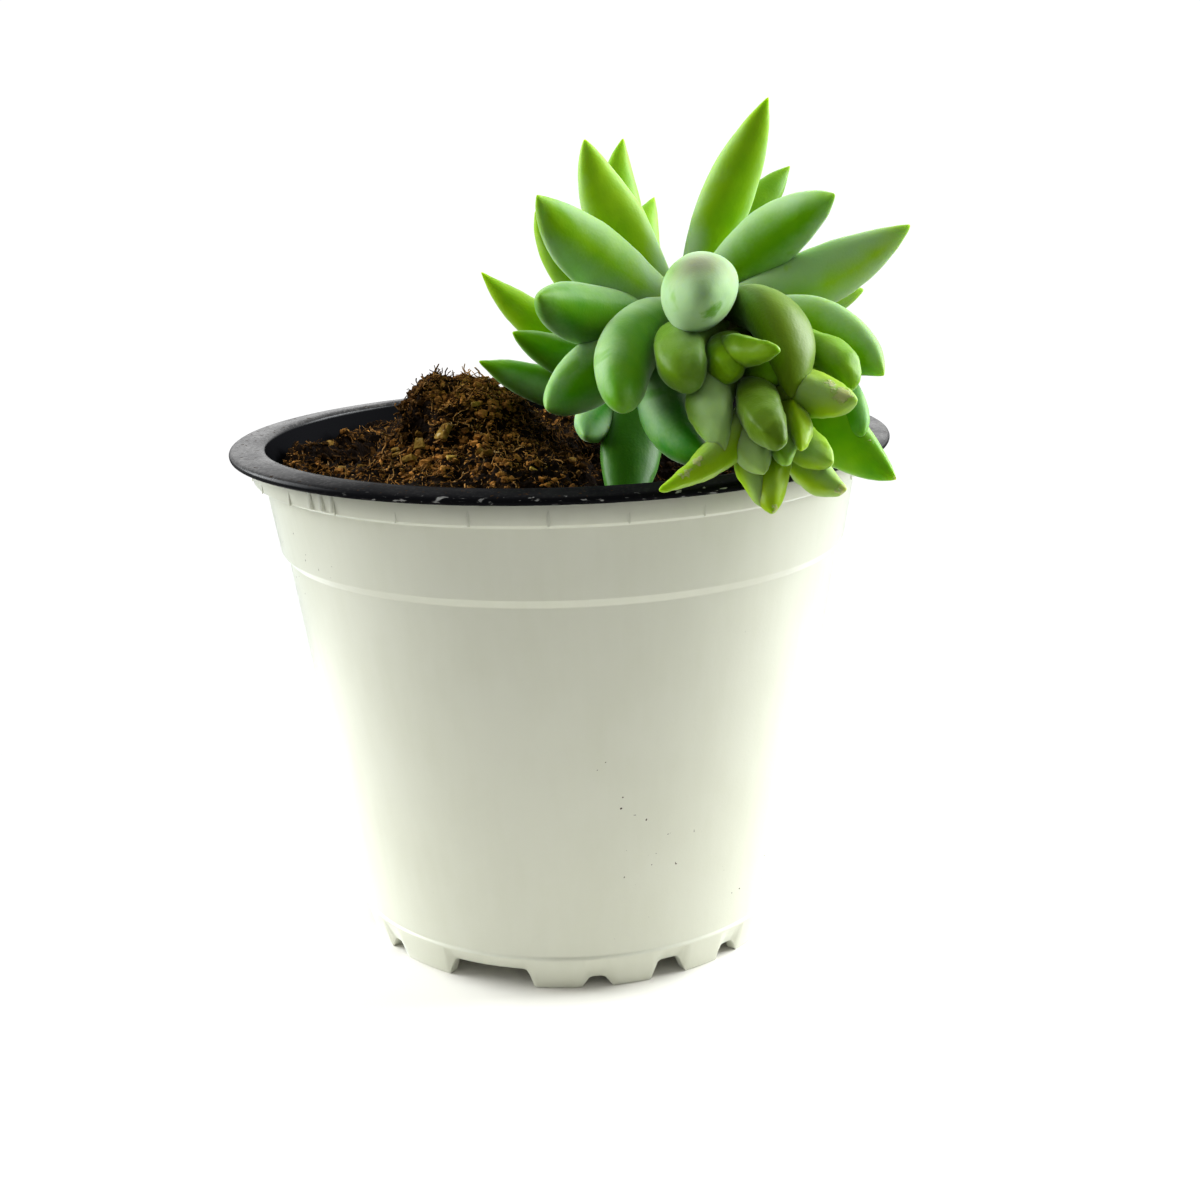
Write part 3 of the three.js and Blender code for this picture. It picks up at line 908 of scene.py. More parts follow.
@dataclass
class Pot:
    """The two bonded layers of the pot, with its feet, ledges, collar ribs and rolled rim.

    Attributes:
        sides: how many sides its rings have.
        wall: thickness of the outer layer.
        lining: thickness of the inner layer.
        gap: clearance between the two.
        foot_radius: radius of the foot ring's underside.
        foot_band_radius: radius of the band above the feet.
        foot_band_top: height of that band.
        foot_wall: thickness of the foot ring.
        floor_bottom: height of the floor's underside.
        floor_inset: how far the floor's edge stands back from the band.
        lower_ledge: radius and height at which the lower ledge begins.
        lower_ledge_top: radius and height at which it ends.
        upper_ledge: radius and height at which the upper ledge begins.
        upper_ledge_top: radius and height at which it ends.
        collar_radius: radius of the collar at its top.
        rim_radius: outer radius of the rim.
        rim_inner: inner radius of the rim.
        rim_top: height of the rim.
        rim_underside: height of the rim's underside.
        notches: the gaps between the feet.
        notch_slant: how many degrees a notch's side takes to rise.
        wall_edge: width of the outer layer's rounded edges.
        lining_edge: width of the inner layer's rounded edges.
        ribs: how many upright ribs the collar has.
        first_rib: where the first one is.
        fine_rib: width along the collar and depth of most ribs.
        stout_rib: width and depth of every third rib.
        lug: width and depth of a lug.
        lugs: where the lugs are.
        drain_ring: radius of the ring of drain holes.
        drains: how many holes that ring has.
        drain_radius: radius of each.
        centre_drain_radius: radius of the hole in the middle.
        drill_length: length of the drills that cut them.
        drill_middle: height of the drills' middle.
    """

    sides: int = 360
    wall: float = 0.8
    lining: float = 0.7
    gap: float = 0.3
    foot_radius: float = 34.8
    foot_band_radius: float = 36.4
    foot_band_top: float = 5.5
    foot_wall: float = 1.5
    floor_bottom: float = 3.6
    floor_inset: float = 0.4
    lower_ledge: Tuple[float, float] = (44.4, 63.2)
    lower_ledge_top: Tuple[float, float] = (45.5, 64.5)
    upper_ledge: Tuple[float, float] = (47.2, 75.2)
    upper_ledge_top: Tuple[float, float] = (49.0, 75.9)
    collar_radius: float = 49.5
    rim_radius: float = 52.5
    rim_inner: float = 46.8
    rim_top: float = 81.0
    rim_underside: float = 79.4
    notches: Tuple[Notch, ...] = (
        Notch(-82.5, 24, 3),
        Notch(-54.8, 7.5, 2),
        Notch(-23.5, 24, 3),
        Notch(5.2, 7.5, 1.8),
        Notch(24.2, 9.5, 3),
        Notch(43, 8, 2.2),
        Notch(77, 24, 3),
        Notch(108, 8, 2),
        Notch(136, 24, 3),
        Notch(165, 9.5, 2.4),
        Notch(190, 8, 2),
        Notch(217, 24, 3),
        Notch(247, 8, 2),
    )
    notch_slant: float = 2.5
    wall_edge: float = 0.14
    lining_edge: float = 0.12
    ribs: int = 28
    first_rib: float = -2.3
    fine_rib: Tuple[float, float] = (0.3, 0.08)
    stout_rib: Tuple[float, float] = (0.4, 0.2)
    lug: Tuple[float, float] = (1.0, 0.4)
    lugs: Tuple[float, ...] = (-47.0, -44.0, -41.3)
    drain_ring: float = 20.0
    drains: int = 6
    drain_radius: float = 3.0
    centre_drain_radius: float = 4.0
    drill_length: float = 8.0
    drill_middle: float = 4.6

    def on_axis(self, piece: bpy.types.Object) -> bpy.types.Object:
        """Moves a layer from the Z axis to the pot's own axis.

        Args:
            piece: the layer.

        Returns:
            The layer.
        """
        piece.location.y = POT_AXIS_Y * MM
        settle(piece)
        return piece

    def round_from_front(self, degrees: float) -> Matrix:
        """Turns something that stands at the front round the Z axis."""
        return Matrix.Rotation(math.radians(degrees), 4, "Z")

    def outer_profile(self) -> Profile:
        """Draws the outer layer: up its outside from the floor and down its inside.

        Returns:
            Radius and height of its rings.
        """
        outside = [
            (self.foot_band_radius, self.foot_band_top - 0.3),
            (self.foot_band_radius, self.foot_band_top),
            (self.foot_band_radius - 0.3, self.foot_band_top + 0.3),
            self.lower_ledge,
            self.lower_ledge_top,
            self.upper_ledge,
            self.upper_ledge_top,
            (self.collar_radius, self.rim_underside - self.gap),
        ]
        inside = [(radius - self.wall, height) for radius, height in outside[:2:-1]]
        floor_radius = self.foot_band_radius - self.wall - self.floor_inset
        return [
            (self.foot_radius - self.foot_wall, self.floor_bottom),
            (self.foot_radius - self.foot_wall - 0.3, 0.0),
            (self.foot_radius, 0.0),
            *outside,
            *inside,
            (floor_radius, self.floor_bottom + self.wall),
        ]

    def side(self, offset: float) -> List[Tuple[float, float]]:
        """Draws one face of the inner layer's side.

        Args:
            offset: how far it stands in from the outer layer's outside.

        Returns:
            Radius and height of its rings, from the floor up.
        """
        return [
            (self.foot_band_radius - self.floor_inset - offset, self.floor_bottom + offset),
            (self.lower_ledge[0] - offset, self.lower_ledge[1] + 0.2),
            (self.lower_ledge_top[0] - offset, self.lower_ledge_top[1] + 0.4),
            (self.upper_ledge[0] - offset, self.upper_ledge[1] + 0.3),
        ]

    def lining_profile(self) -> Profile:
        """Draws the inner layer: up its outside, over the rolled rim and down its inside.

        Returns:
            Radius and height of its rings.
        """
        outer = self.wall + self.gap
        rim = [
            (self.rim_inner + self.lining, self.rim_underside),
            (self.rim_radius - 0.45, self.rim_underside),
            (self.rim_radius - 0.1, self.rim_underside + 0.15),
            (self.rim_radius, self.rim_underside + 0.45),
            (self.rim_radius, self.rim_top - 0.9),
            (self.rim_radius - 0.12, self.rim_top - 0.6),
            (self.rim_radius - 0.4, self.rim_top - 0.42),
            (self.rim_radius - 0.9, self.rim_top - 0.3),
            (self.rim_inner + 2.4, self.rim_top - 0.04),
            (self.rim_inner + 1.4, self.rim_top),
            (self.rim_inner + 0.6, self.rim_top - 0.12),
            (self.rim_inner + 0.15, self.rim_top - 0.45),
            (self.rim_inner, self.rim_top - 0.95),
            (self.rim_inner - 0.02, self.rim_top - 1.1),
        ]
        return [*self.side(outer), *rim, *reversed(self.side(outer + self.lining))]

    def cut_feet(self, piece: bpy.types.Object) -> None:
        """Raises the foot ring's underside at each notch, with slanted sides.

        Args:
            piece: the outer layer.
        """
        take(piece)
        bpy.ops.object.mode_set(mode="EDIT")
        step = 360.0 / self.sides
        low = self.floor_bottom / 2 * MM
        for notch in self.notches:
            for turn in range(math.ceil(notch.width / 2 / step)):
                away = turn * step
                rise = min(1.0, (notch.width / 2 - away) / self.notch_slant)
                share = math.sin(math.pi / 2 * rise)
                found = choose(
                    lambda place: place.z < low
                    and away - step / 2 < self.apart(place, notch.at) <= away + step / 2
                )
                if found and share > 0:
                    move = (0.0, 0.0, share * notch.height * MM)
                    bpy.ops.transform.translate(value=move)
        bpy.ops.object.mode_set(mode="OBJECT")

    def apart(self, place: Vector, at: float) -> float:
        """Degrees between a place and a direction round the pot."""
        turn = math.degrees(math.atan2(place.x, -place.y)) - at
        return abs((turn + 180.0) % 360.0 - 180.0)

    def drill(self, piece: bpy.types.Object) -> None:
        """Cuts the drain holes through a layer's floor.

        Args:
            piece: the layer.
        """
        holes = [(Vector(), self.centre_drain_radius)]
        for count in range(self.drains):
            turn = self.round_from_front(360.0 / self.drains * count)
            holes.append((turn @ Vector((0.0, -self.drain_ring, 0.0)), self.drain_radius))
        cutters = []
        for place, radius in holes:
            deselect()
            bpy.ops.mesh.primitive_cylinder_add(
                vertices=48,
                radius=radius * MM,
                depth=self.drill_length * MM,
                location=(place.x * MM, place.y * MM, self.drill_middle * MM),
            )
            cutters.append(bpy.context.object)
            settle(cutters[-1])
        cutter = joined("drills", cutters)
        modify(piece, "BOOLEAN", operation="DIFFERENCE", object=cutter, solver="EXACT")
        discard(cutter)

    def rib(self, width: float, depth: float, low: float, high: float) -> bpy.types.Object:
        """Models one upright rib on the front of the collar, with rounded edges.

        Args:
            width: its width along the collar.
            depth: how far it stands out.
            low: height of its foot.
            high: height of its top.

        Returns:
            The rib.
        """
        deselect()
        bpy.ops.mesh.primitive_cube_add(size=MM, location=(0.0, 0.0, (low + high) / 2 * MM))
        rib = bpy.context.object
        rib.scale = (width, depth * 2, high - low)
        rib.location.y = -(self.collar_radius - 0.35) * MM
        settle(rib)
        modify(rib, "BEVEL", width=0.3 * width * MM, segments=2)
        return rib

    def wall_piece(self) -> bpy.types.Object:
        """Models the outer layer.

        Returns:
            The layer.
        """
        body = lathe(self.outer_profile(), self.sides)
        self.cut_feet(body)
        sharp = math.radians(25)
        modify(body, "BEVEL", width=self.wall_edge * MM, segments=2, angle_limit=sharp)
        self.drill(body)
        low, high = self.upper_ledge_top[1] - 0.1, self.rim_underside - 0.35
        fine = self.rib(*self.fine_rib, low, high)
        stout = self.rib(*self.stout_rib, low, high)
        lug = self.rib(*self.lug, low + 0.3, high)
        pitch = 360.0 / self.ribs
        parts = [body]
        for count in range(self.ribs):
            mould = fine if count % 3 else stout
            turn = self.round_from_front(self.first_rib + count * pitch)
            parts.append(copied("rib", mould.data, turn))
        for at in self.lugs:
            parts.append(copied("lug", lug.data, self.round_from_front(at)))
        for mould in (fine, stout, lug):
            discard(mould)
        return self.on_axis(joined("pot_wall", parts))

    def lining_piece(self) -> bpy.types.Object:
        """Models the inner layer with its rolled rim.

        Returns:
            The layer.
        """
        body = lathe(self.lining_profile(), self.sides)
        sharp = math.radians(28)
        modify(body, "BEVEL", width=self.lining_edge * MM, segments=2, angle_limit=sharp)
        self.drill(body)
        body.name = "pot_lining"
        return self.on_axis(body)

    def build(self, dresser: Dresser) -> None:
        """Models and dresses both layers.

        Args:
            dresser: what hands them over.
        """
        wall, lining = WallFinish().build(), LiningFinish().build()
        dresser.put(self.wall_piece(), wall, ["pot_outer_layer"], 30)
        dresser.put(self.lining_piece(), lining, ["pot_inner_layer"], 30)


# ---- Soil ----------------------------------------------------------------------------------------


class BitShape(Enum):
    """The shape of the small bits that lie on the soil."""

    CLOD = "clod"
    CRUMB = "crumb"
    STRAND = "strand"
    CHIP = "chip"


@dataclass(frozen=True)
class Layer:
    """One kind of small bits, scattered over the soil as one piece.

    Attributes:
        name: the piece's name.
        shape: the bits' shape.
        part: what they are made of.
        count: how many there are.
        sizes: least and greatest size, in millimetres.
        sink: how deep a bit sits, as a share of its size, or how far it stands off if negative.
        lean: how far a bit may lean out of the surface, in degrees.
        angle: edges sharper than this many degrees stay sharp.
        marked: place across, place along and size of bits that are seen one by one.
    """

    name: str
    shape: BitShape
    part: SoilPart
    count: int
    sizes: Tuple[float, float]
    sink: float
    lean: float
    angle: float = 180.0
    marked: Tuple[Point, ...] = ()


@dataclass
class Soil:
    """The bed of peat and coir with the clods, fibres and chips on it.

    Attributes:
        node: the packed soil.
        seed: where its chance starts.
        rings: how many rings of points its top has.
        sides: how many points each ring has.
        top_radius: radius of its top, before it meets the pot.
        skirt: radius and height of the rings of its side, from the top down.
        crease: how much of the top's unevenness the first of these keeps.
        drop_height: height from which the top's rings are laid on the packed soil.
        reliefs: size and height of the blotches that its top is roughened with.
        relief_middle: the share of that height at which the top stays where it is.
        lumps: place, reach and height of its heaps and, below 0, its hollows.
        shadows: place and reach of the shadows painted onto it.
        shadow_depth: how much the painted shade darkens the middle of a shadow.
        heap: the middle of the heap, where bits lie thicker.
        heap_spread: how far from there they spread.
        heap_share: how many of the bits belong to it.
        bits_radius: how far from the pot's axis the other bits are scattered.
        bits_limit: how far from it a bit may reach.
        lowest_bit: height below which none is wanted.
        rare_large: how rare large bits are among small ones, where 1 is even.
        probe_height: height from which the bed's surface is looked for.
        upward: how strongly bits stand up rather than out of the surface.
        variants: how many shapes the bits of a layer are copied from.
        chip_variants: how many the chips are.
        strand_steps: how many lengths a strand has.
        layers: the kinds of bits.
        finishes: the finishes of the bed and of the bits.
    """

    node: bpy.types.Object
    seed: int = 11
    rings: int = 120
    sides: int = 300
    top_radius: float = 44.3
    skirt: Tuple[Tuple[float, float], ...] = ((45.2, 75.4), (43.3, 64.8), (42.1, 63.3), (33.9, 5.8))
    crease: float = 0.25
    drop_height: float = 110.0
    reliefs: Tuple[Tuple[float, float], ...] = ((6.0, 3.0), (2.6, 2.6), (1.2, 2.0))
    relief_middle: float = 0.58
    lumps: Tuple[Tuple[float, float, float, float], ...] = (
        (-22.0, 4.0, 6.0, 2.2),
        (-13.0, 6.0, 9.0, -1.6),
        (-42.0, 9.0, 8.0, 2.5),
        (-36.0, 29.0, 7.0, 1.0),
        (-17.5, 5.0, 4.0, 1.0),
        (-31.0, 6.0, 9.0, -6.0),
        (-29.0, 18.0, 7.0, -4.0),
        (-22.5, -3.0, 3.5, -3.0),
    )
    # Painted shadows: round these places the soil's colour is darkened where shade falls, in hollows
    # and under the plant.
    shadows: Tuple[Point, ...] = (
        (-29.0, 12.0, 17.0),
        (-22.5, -3.0, 3.5),
        (-19.5, 8.0, 4.5),
        (14.0, 8.0, 29.0),
        (20.0, -20.0, 20.0),
    )
    shadow_depth: float = 0.97
    heap: Tuple[float, float] = (-15.0, 5.0)
    heap_spread: float = 10.0
    heap_share: float = 0.45
    bits_radius: float = 44.0
    bits_limit: float = 45.0
    lowest_bit: float = 60.0
    rare_large: float = 2.5
    probe_height: float = 120.0
    upward: float = 1.5
    variants: int = 10
    chip_variants: int = 4
    strand_steps: int = 7
    layers: Tuple[Layer, ...] = (
        Layer("soil_clods", BitShape.CLOD, SoilPart.CLOD, 2300, (0.8, 1.8), 0.05, 25.0, 60),
        Layer("soil_crumbs", BitShape.CRUMB, SoilPart.CLOD, 6500, (0.35, 0.95), 0.05, 25.0, 60),
        Layer("soil_threads", BitShape.STRAND, SoilPart.THREAD, 3000, (1.0, 2.6), -0.1, 12.0),
        Layer("soil_fibres", BitShape.STRAND, SoilPart.FIBRE, 2300, (1.2, 3.4), -0.1, 12.0),
        Layer(
            "soil_chips", BitShape.CHIP, SoilPart.CHIP, 40, (1.6, 3.4), -0.05, 35.0, 40,
            marked=(
                (-18.0, -6.5, 3.9),
                (-23.0, -8.5, 3.9),
                (-22.0, -6.0, 3.0),
                (-34.5, -7.5, 3.0),
                (-31.0, -4.5, 3.6),
                (-40.0, 18.0, 4.4),
                (-11.5, -13.0, 3.4),
                (1.5, -10.0, 3.4),
                (27.5, -9.0, 3.0),
            ),
        ),
    )
    finishes: Tuple[SoilFinish, ...] = (
        # The bed is nearly black: dark peat, darkened further as painted shade between the bits.
        SoilFinish(
            SoilPart.BED, rgb(0.003, 0.001, 0.0), rgb(0.04, 0.017, 0.003), rgb(0.12, 0.052, 0.008)
        ),
        SoilFinish(
            SoilPart.CLOD, rgb(0.01, 0.004, 0.0), rgb(0.46, 0.2, 0.045), rgb(0.6, 0.32, 0.08)
        ),
        SoilFinish(
            SoilPart.THREAD, rgb(0.015, 0.006, 0.001), rgb(0.38, 0.17, 0.04), rgb(0.5, 0.27, 0.08)
        ),
        SoilFinish(
            SoilPart.FIBRE, rgb(0.07, 0.03, 0.006), rgb(0.5, 0.26, 0.08), rgb(0.7, 0.45, 0.2)
        ),
        SoilFinish(SoilPart.CHIP, rgb(0.12, 0.06, 0.01), rgb(0.46, 0.3, 0.06), rgb(0.5, 0.4, 0.2)),
    )

    def bed(self) -> bpy.types.Object:
        """Models the bed: rings laid over the packed soil's top, roughened, with its sides below.

        Returns:
            The bed.
        """
        deselect()
        radius = self.top_radius * MM
        bpy.ops.mesh.primitive_circle_add(vertices=self.sides, radius=radius, enter_editmode=True)
        bpy.ops.transform.translate(value=(0.0, POT_AXIS_Y * MM, self.drop_height * MM))
        for ring in range(self.rings - 1, 0, -1):
            bpy.ops.mesh.extrude_edges_move(TRANSFORM_OT_translate={"value": (0.0, 0.0, 0.0)})
            share = ring / (ring + 1)
            bpy.ops.transform.resize(value=(share, share, 1.0))
        bpy.ops.mesh.merge(type="CENTER")
        bpy.ops.object.mode_set(mode="OBJECT")
        bed = bpy.context.object
        bed.name = "soil_bed"
        modify(
            bed,
            "SHRINKWRAP",
            wrap_method="PROJECT",
            use_project_z=True,
            use_negative_direction=True,
            use_positive_direction=False,
            target=self.node,
        )
        for size, strength in self.reliefs:
            modify(
                bed,
                "DISPLACE",
                texture=cloud_texture("soil_relief", size),
                texture_coords="GLOBAL",
                direction="Z",
                mid_level=self.relief_middle,
                strength=strength * MM,
            )
        self.heap_up(bed)
        self.add_sides(bed)
        # Paints shade into the bed: each point keeps how far the painted shadows darken it.
        write_marks(bed.data, "lit", [self.lit(point.co) for point in bed.data.vertices])
        return bed

    def heap_up(self, bed: bpy.types.Object) -> None:
        """Raises the bed's heaps and sinks its hollows.

        Args:
            bed: the bed.
        """
        take(bed)
        bpy.ops.object.mode_set(mode="EDIT")
        for x, y, reach, height in self.lumps:
            centre = Vector((x, y)) * MM
            choose(lambda place: (place.xy - centre).length < 0.3 * reach * MM)
            bpy.ops.transform.translate(
                value=(0.0, 0.0, height * MM),
                use_proportional_edit=True,
                proportional_edit_falloff="SMOOTH",
                proportional_size=0.7 * reach * MM,
            )
        bpy.ops.object.mode_set(mode="OBJECT")

    def add_sides(self, bed: bpy.types.Object) -> None:
        """Draws the bed's outer ring down inside the pot and closes its floor.

        Args:
            bed: the bed.
        """
        take(bed)
        bpy.ops.object.mode_set(mode="EDIT")
        bpy.ops.mesh.select_all(action="SELECT")
        bpy.ops.mesh.region_to_loop()
        radius, uneven = self.top_radius, self.crease
        for next_radius, height in self.skirt:
            bpy.ops.mesh.extrude_edges_move(TRANSFORM_OT_translate={"value": (0.0, 0.0, 0.0)})
            share = next_radius / radius
            centre = (0.0, POT_AXIS_Y * MM, height * MM)
            bpy.ops.transform.resize(value=(share, share, uneven), center_override=centre)
            radius, uneven = next_radius, 0.0
        bpy.ops.mesh.edge_face_add()
        close_up()

    def clod_mould(self, draw: random.Random, seed: int) -> bpy.types.Object:
        """Models one small ragged clod of unit size.

        Args:
            draw: the seeded source of chance.
            seed: the seed of its raggedness.

        Returns:
            The clod.
        """
        deselect()
        bpy.ops.mesh.primitive_cube_add(size=0.7, enter_editmode=True)
        bpy.ops.mesh.subdivide(number_cuts=1, smoothness=0.6)
        bpy.ops.transform.vertex_random(offset=0.28, seed=seed)
        bpy.ops.object.mode_set(mode="OBJECT")
        clod = bpy.context.object
        clod.scale = (1.0, draw.uniform(0.4, 0.9), draw.uniform(0.4, 0.8))
        settle(clod)
        return clod

    def crumb_mould(self, seed: int) -> bpy.types.Object:
        """Models one grain of unit size, finer than a clod.

        Args:
            seed: the seed of its raggedness.

        Returns:
            The grain.
        """
        deselect()
        bpy.ops.mesh.primitive_ico_sphere_add(subdivisions=1, radius=0.4, enter_editmode=True)
        bpy.ops.transform.vertex_random(offset=0.2, seed=seed)
        bpy.ops.transform.resize(value=(1.25, 0.8, 0.7))
        bpy.ops.object.mode_set(mode="OBJECT")
        return bpy.context.object

    def strand_mould(self, draw: random.Random) -> bpy.types.Object:
        """Models one thin curled strand of unit length.

        Args:
            draw: the seeded source of chance.

        Returns:
            The strand.
        """
        deselect()
        bpy.ops.mesh.primitive_circle_add(
            vertices=3, radius=draw.uniform(0.025, 0.05), fill_type="NGON", enter_editmode=True
        )
        bpy.ops.mesh.select_all(action="SELECT")
        place, direction = Vector(), Vector((0.0, 0.0, 1.0))
        curl = draw.uniform(-0.4, 0.4)
        for _ in range(self.strand_steps):
            move = direction / self.strand_steps
            bpy.ops.mesh.extrude_region_move(TRANSFORM_OT_translate={"value": move})
            place += move
            for axis in "XY":
                turn = curl + draw.uniform(-0.7, 0.7)
                bpy.ops.transform.rotate(value=turn, orient_axis=axis, center_override=place)
            faces = bmesh.from_edit_mesh(bpy.context.edit_object.data).faces
            direction = next(face.normal.copy() for face in faces if face.select)
        close_up()
        strand = bpy.context.object
        strand.rotation_euler.y = math.pi / 2
        settle(strand)
        strand.location.x = -0.3
        settle(strand)
        return strand

    def chip_mould(self, draw: random.Random) -> bpy.types.Object:
        """Models one flat angular chip of bark of unit size.

        Args:
            draw: the seeded source of chance.

        Returns:
            The chip.
        """
        deselect()
        bpy.ops.mesh.primitive_cube_add(size=0.8)
        chip = bpy.context.object
        chip.scale = (1.0, draw.uniform(0.5, 0.8), draw.uniform(0.3, 0.5))
        settle(chip)
        bpy.ops.object.mode_set(mode="EDIT")
        choose(lambda place: place.x > 0)
        bpy.ops.transform.resize(value=(1.0, draw.uniform(0.3, 0.7), draw.uniform(0.6, 1.0)))
        bpy.ops.object.mode_set(mode="OBJECT")
        modify(chip, "BEVEL", width=0.08, segments=2)
        bpy.ops.object.mode_set(mode="EDIT")
        bpy.ops.mesh.select_all(action="SELECT")
        bpy.ops.transform.vertex_random(offset=0.07, seed=draw.randrange(100))
        bpy.ops.object.mode_set(mode="OBJECT")
        return chip

    def moulds(self, shape: BitShape, draw: random.Random) -> List[bpy.types.Object]:
        """Models the few bits that all bits of one shape are copied from.

        Args:
            shape: the shape.
            draw: the seeded source of chance.

        Returns:
            The bits, of unit size.
        """
        if shape is BitShape.CLOD:
            return [self.clod_mould(draw, seed) for seed in range(self.variants)]
        if shape is BitShape.CRUMB:
            return [self.crumb_mould(seed) for seed in range(self.variants)]
        if shape is BitShape.STRAND:
            return [self.strand_mould(draw) for _ in range(self.variants)]
        return [self.chip_mould(draw) for _ in range(self.chip_variants)]

    def scatter(self, layer: Layer, tree: BVHTree, draw: random.Random) -> bpy.types.Object:
        """Copies bits to places on the bed, each turned and sized at random.

        Args:
            layer: the kind of bits.
            tree: the bed's surface.
            draw: the seeded source of chance.

        Returns:
            The piece that holds all the bits.
        """
        moulds = self.moulds(layer.shape, draw)
        points: List[Vector] = []
        faces: List[List[int]] = []
        tones: List[float] = []
        lit: List[float] = []
        for point, normal, size in self.places(layer, tree, draw):
            tilt = Matrix.Rotation(math.radians(draw.uniform(-layer.lean, layer.lean)), 4, "Y")
            turn = Matrix.Rotation(draw.uniform(0.0, math.tau), 4, "Z")
            surface = normal.to_track_quat("Z", "Y").to_matrix().to_4x4()
            grow = Matrix.Scale(size * MM, 4)
            place = Matrix.Translation(point) @ surface @ turn @ tilt @ grow
            mould = draw.choice(moulds).data
            start = len(points)
            points.extend(place @ corner.co for corner in mould.vertices)
            tones.extend([draw.random() ** 2] * len(mould.vertices))
            lit.extend([self.lit(point)] * len(mould.vertices))
            faces.extend([start + corner for corner in face.vertices] for face in mould.polygons)
        mesh = bpy.data.meshes.new(layer.name)
        mesh.from_pydata(points, [], faces)
        write_marks(mesh, "tone", tones)
        # Each bit keeps how far the painted shadows darken it.
        write_marks(mesh, "lit", lit)
        piece = bpy.data.objects.new(layer.name, mesh)
        bpy.context.scene.collection.objects.link(piece)
        for mould in moulds:
            discard(mould)
        return piece

    def lit(self, point: Vector) -> float:
        """Says how much painted shade darkens the soil at a place.

        Args:
            point: the place.

        Returns:
            A share: 1 in the open and less in the painted shadows, in hollows and under the plant.
        """
        share = 1.0
        for x, y, reach in self.shadows:
            away = (point.xy / MM - Vector((x, y))).length / reach
            share *= 1.0 - self.shadow_depth * max(0.0, 1.0 - away * away)
        return share * share

    def places(
        self, layer: Layer, tree: BVHTree, draw: random.Random
    ) -> List[Tuple[Vector, Vector, float]]:
        """Draws places on the bed, thicker on its heap, and adds the marked ones.

        Args:
            layer: the kind of bits.
            tree: the bed's surface.
            draw: the seeded source of chance.

        Returns:
            Point, surface normal and size in millimetres of each bit.
        """
        found: List[Tuple[Vector, Vector, float]] = []
        least, greatest = layer.sizes
        axis = Vector((0.0, POT_AXIS_Y))
        while len(found) < layer.count:
            if draw.random() < self.heap_share:
                across, along = (draw.gauss(0.0, self.heap_spread) for _ in range(2))
                flat = Vector(self.heap) + Vector((across, along))
            else:
                angle = draw.uniform(0.0, math.tau)
                radius = self.bits_radius * math.sqrt(draw.random())
                across, along = radius * math.cos(angle), radius * math.sin(angle)
                flat = Vector((across, along + POT_AXIS_Y))
            size = least + (greatest - least) * draw.random() ** self.rare_large
            if (flat - axis).length + size / 2 > self.bits_limit:
                continue
            point, normal = self.surface(tree, flat.x, flat.y)
            if point.z > self.lowest_bit * MM:
                found.append((point - normal * (layer.sink * size * MM), normal, size))
        found.extend((*self.surface(tree, x, y), size) for x, y, size in layer.marked)
        return found

    def surface(self, tree: BVHTree, x: float, y: float) -> Tuple[Vector, Vector]:
        """Finds the bed's surface.

        Args:
            tree: the bed's surface.
            x: a place across, in millimetres.
            y: a place along, in millimetres.

        Returns:
            Point on the bed there, and its normal, turned somewhat upwards.
        """
        start = Vector((x * MM, y * MM, self.probe_height * MM))
        point, normal, _, _ = tree.ray_cast(start, Vector((0.0, 0.0, -1.0)))
        raised = (normal or Vector()) + Vector((0.0, 0.0, self.upward))
        return point or Vector(), raised.normalized()

    def build(self, dresser: Dresser) -> None:
        """Models and dresses the bed and everything on it.

        Args:
            dresser: what hands them over.
        """
        draw = random.Random(self.seed)
        bed = self.bed()
        tree = BVHTree.FromObject(bed, bpy.context.evaluated_depsgraph_get())
        made = {finish.part: finish.build() for finish in self.finishes}
        dresser.put(bed, made[SoilPart.BED], ["soil"])
        for layer in self.layers:
            piece = self.scatter(layer, tree, draw)
            dresser.put(piece, made[layer.part], angle=layer.angle)


# ---- Plant ---------------------------------------------------------------------------------------


class LeafEnd(Enum):
    """The shape of a leaf's tip."""

    SHARP = "sharp"
    BLUNT = "blunt"
    ROUND = "round"


@dataclass(frozen=True)
class Leaf:
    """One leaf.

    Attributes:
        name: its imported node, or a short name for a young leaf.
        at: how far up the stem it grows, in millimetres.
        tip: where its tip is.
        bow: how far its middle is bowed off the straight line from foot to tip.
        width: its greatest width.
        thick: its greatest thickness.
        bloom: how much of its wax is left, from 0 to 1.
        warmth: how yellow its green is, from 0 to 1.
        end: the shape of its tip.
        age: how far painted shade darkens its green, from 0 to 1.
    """

    name: str
    at: float
    tip: Point
    bow: Point
    width: float
    thick: float
    bloom: float = 0.5
    warmth: float = 0.5
    end: LeafEnd = LeafEnd.SHARP
    age: float = 0.0

    def marks(self) -> Mapping[str, float]:
        """Gives the numbers that the leaf's finish reads at each of its points.

        Returns:
            A number for each name.
        """
        tint = {LeafEnd.SHARP: 1.0, LeafEnd.BLUNT: 0.4, LeafEnd.ROUND: 0.0}
        return {
            "bloom": self.bloom,
            "warmth": self.warmth,
            "age": self.age,
            "tint": tint[self.end],
        }


@dataclass(frozen=True)
class Mark:
    """A mark on one leaf.

    Attributes:
        leaf: the leaf's name.
        along: how far along the leaf it is, from 0 at the foot to 1 at the tip.
        shift: where it is from the leaf's middle line, in millimetres.
        radius: its radius, in millimetres.
        stain: what it is.
    """

    leaf: str
    along: float
    shift: Point
    radius: float
    stain: Stain = Stain.CORK


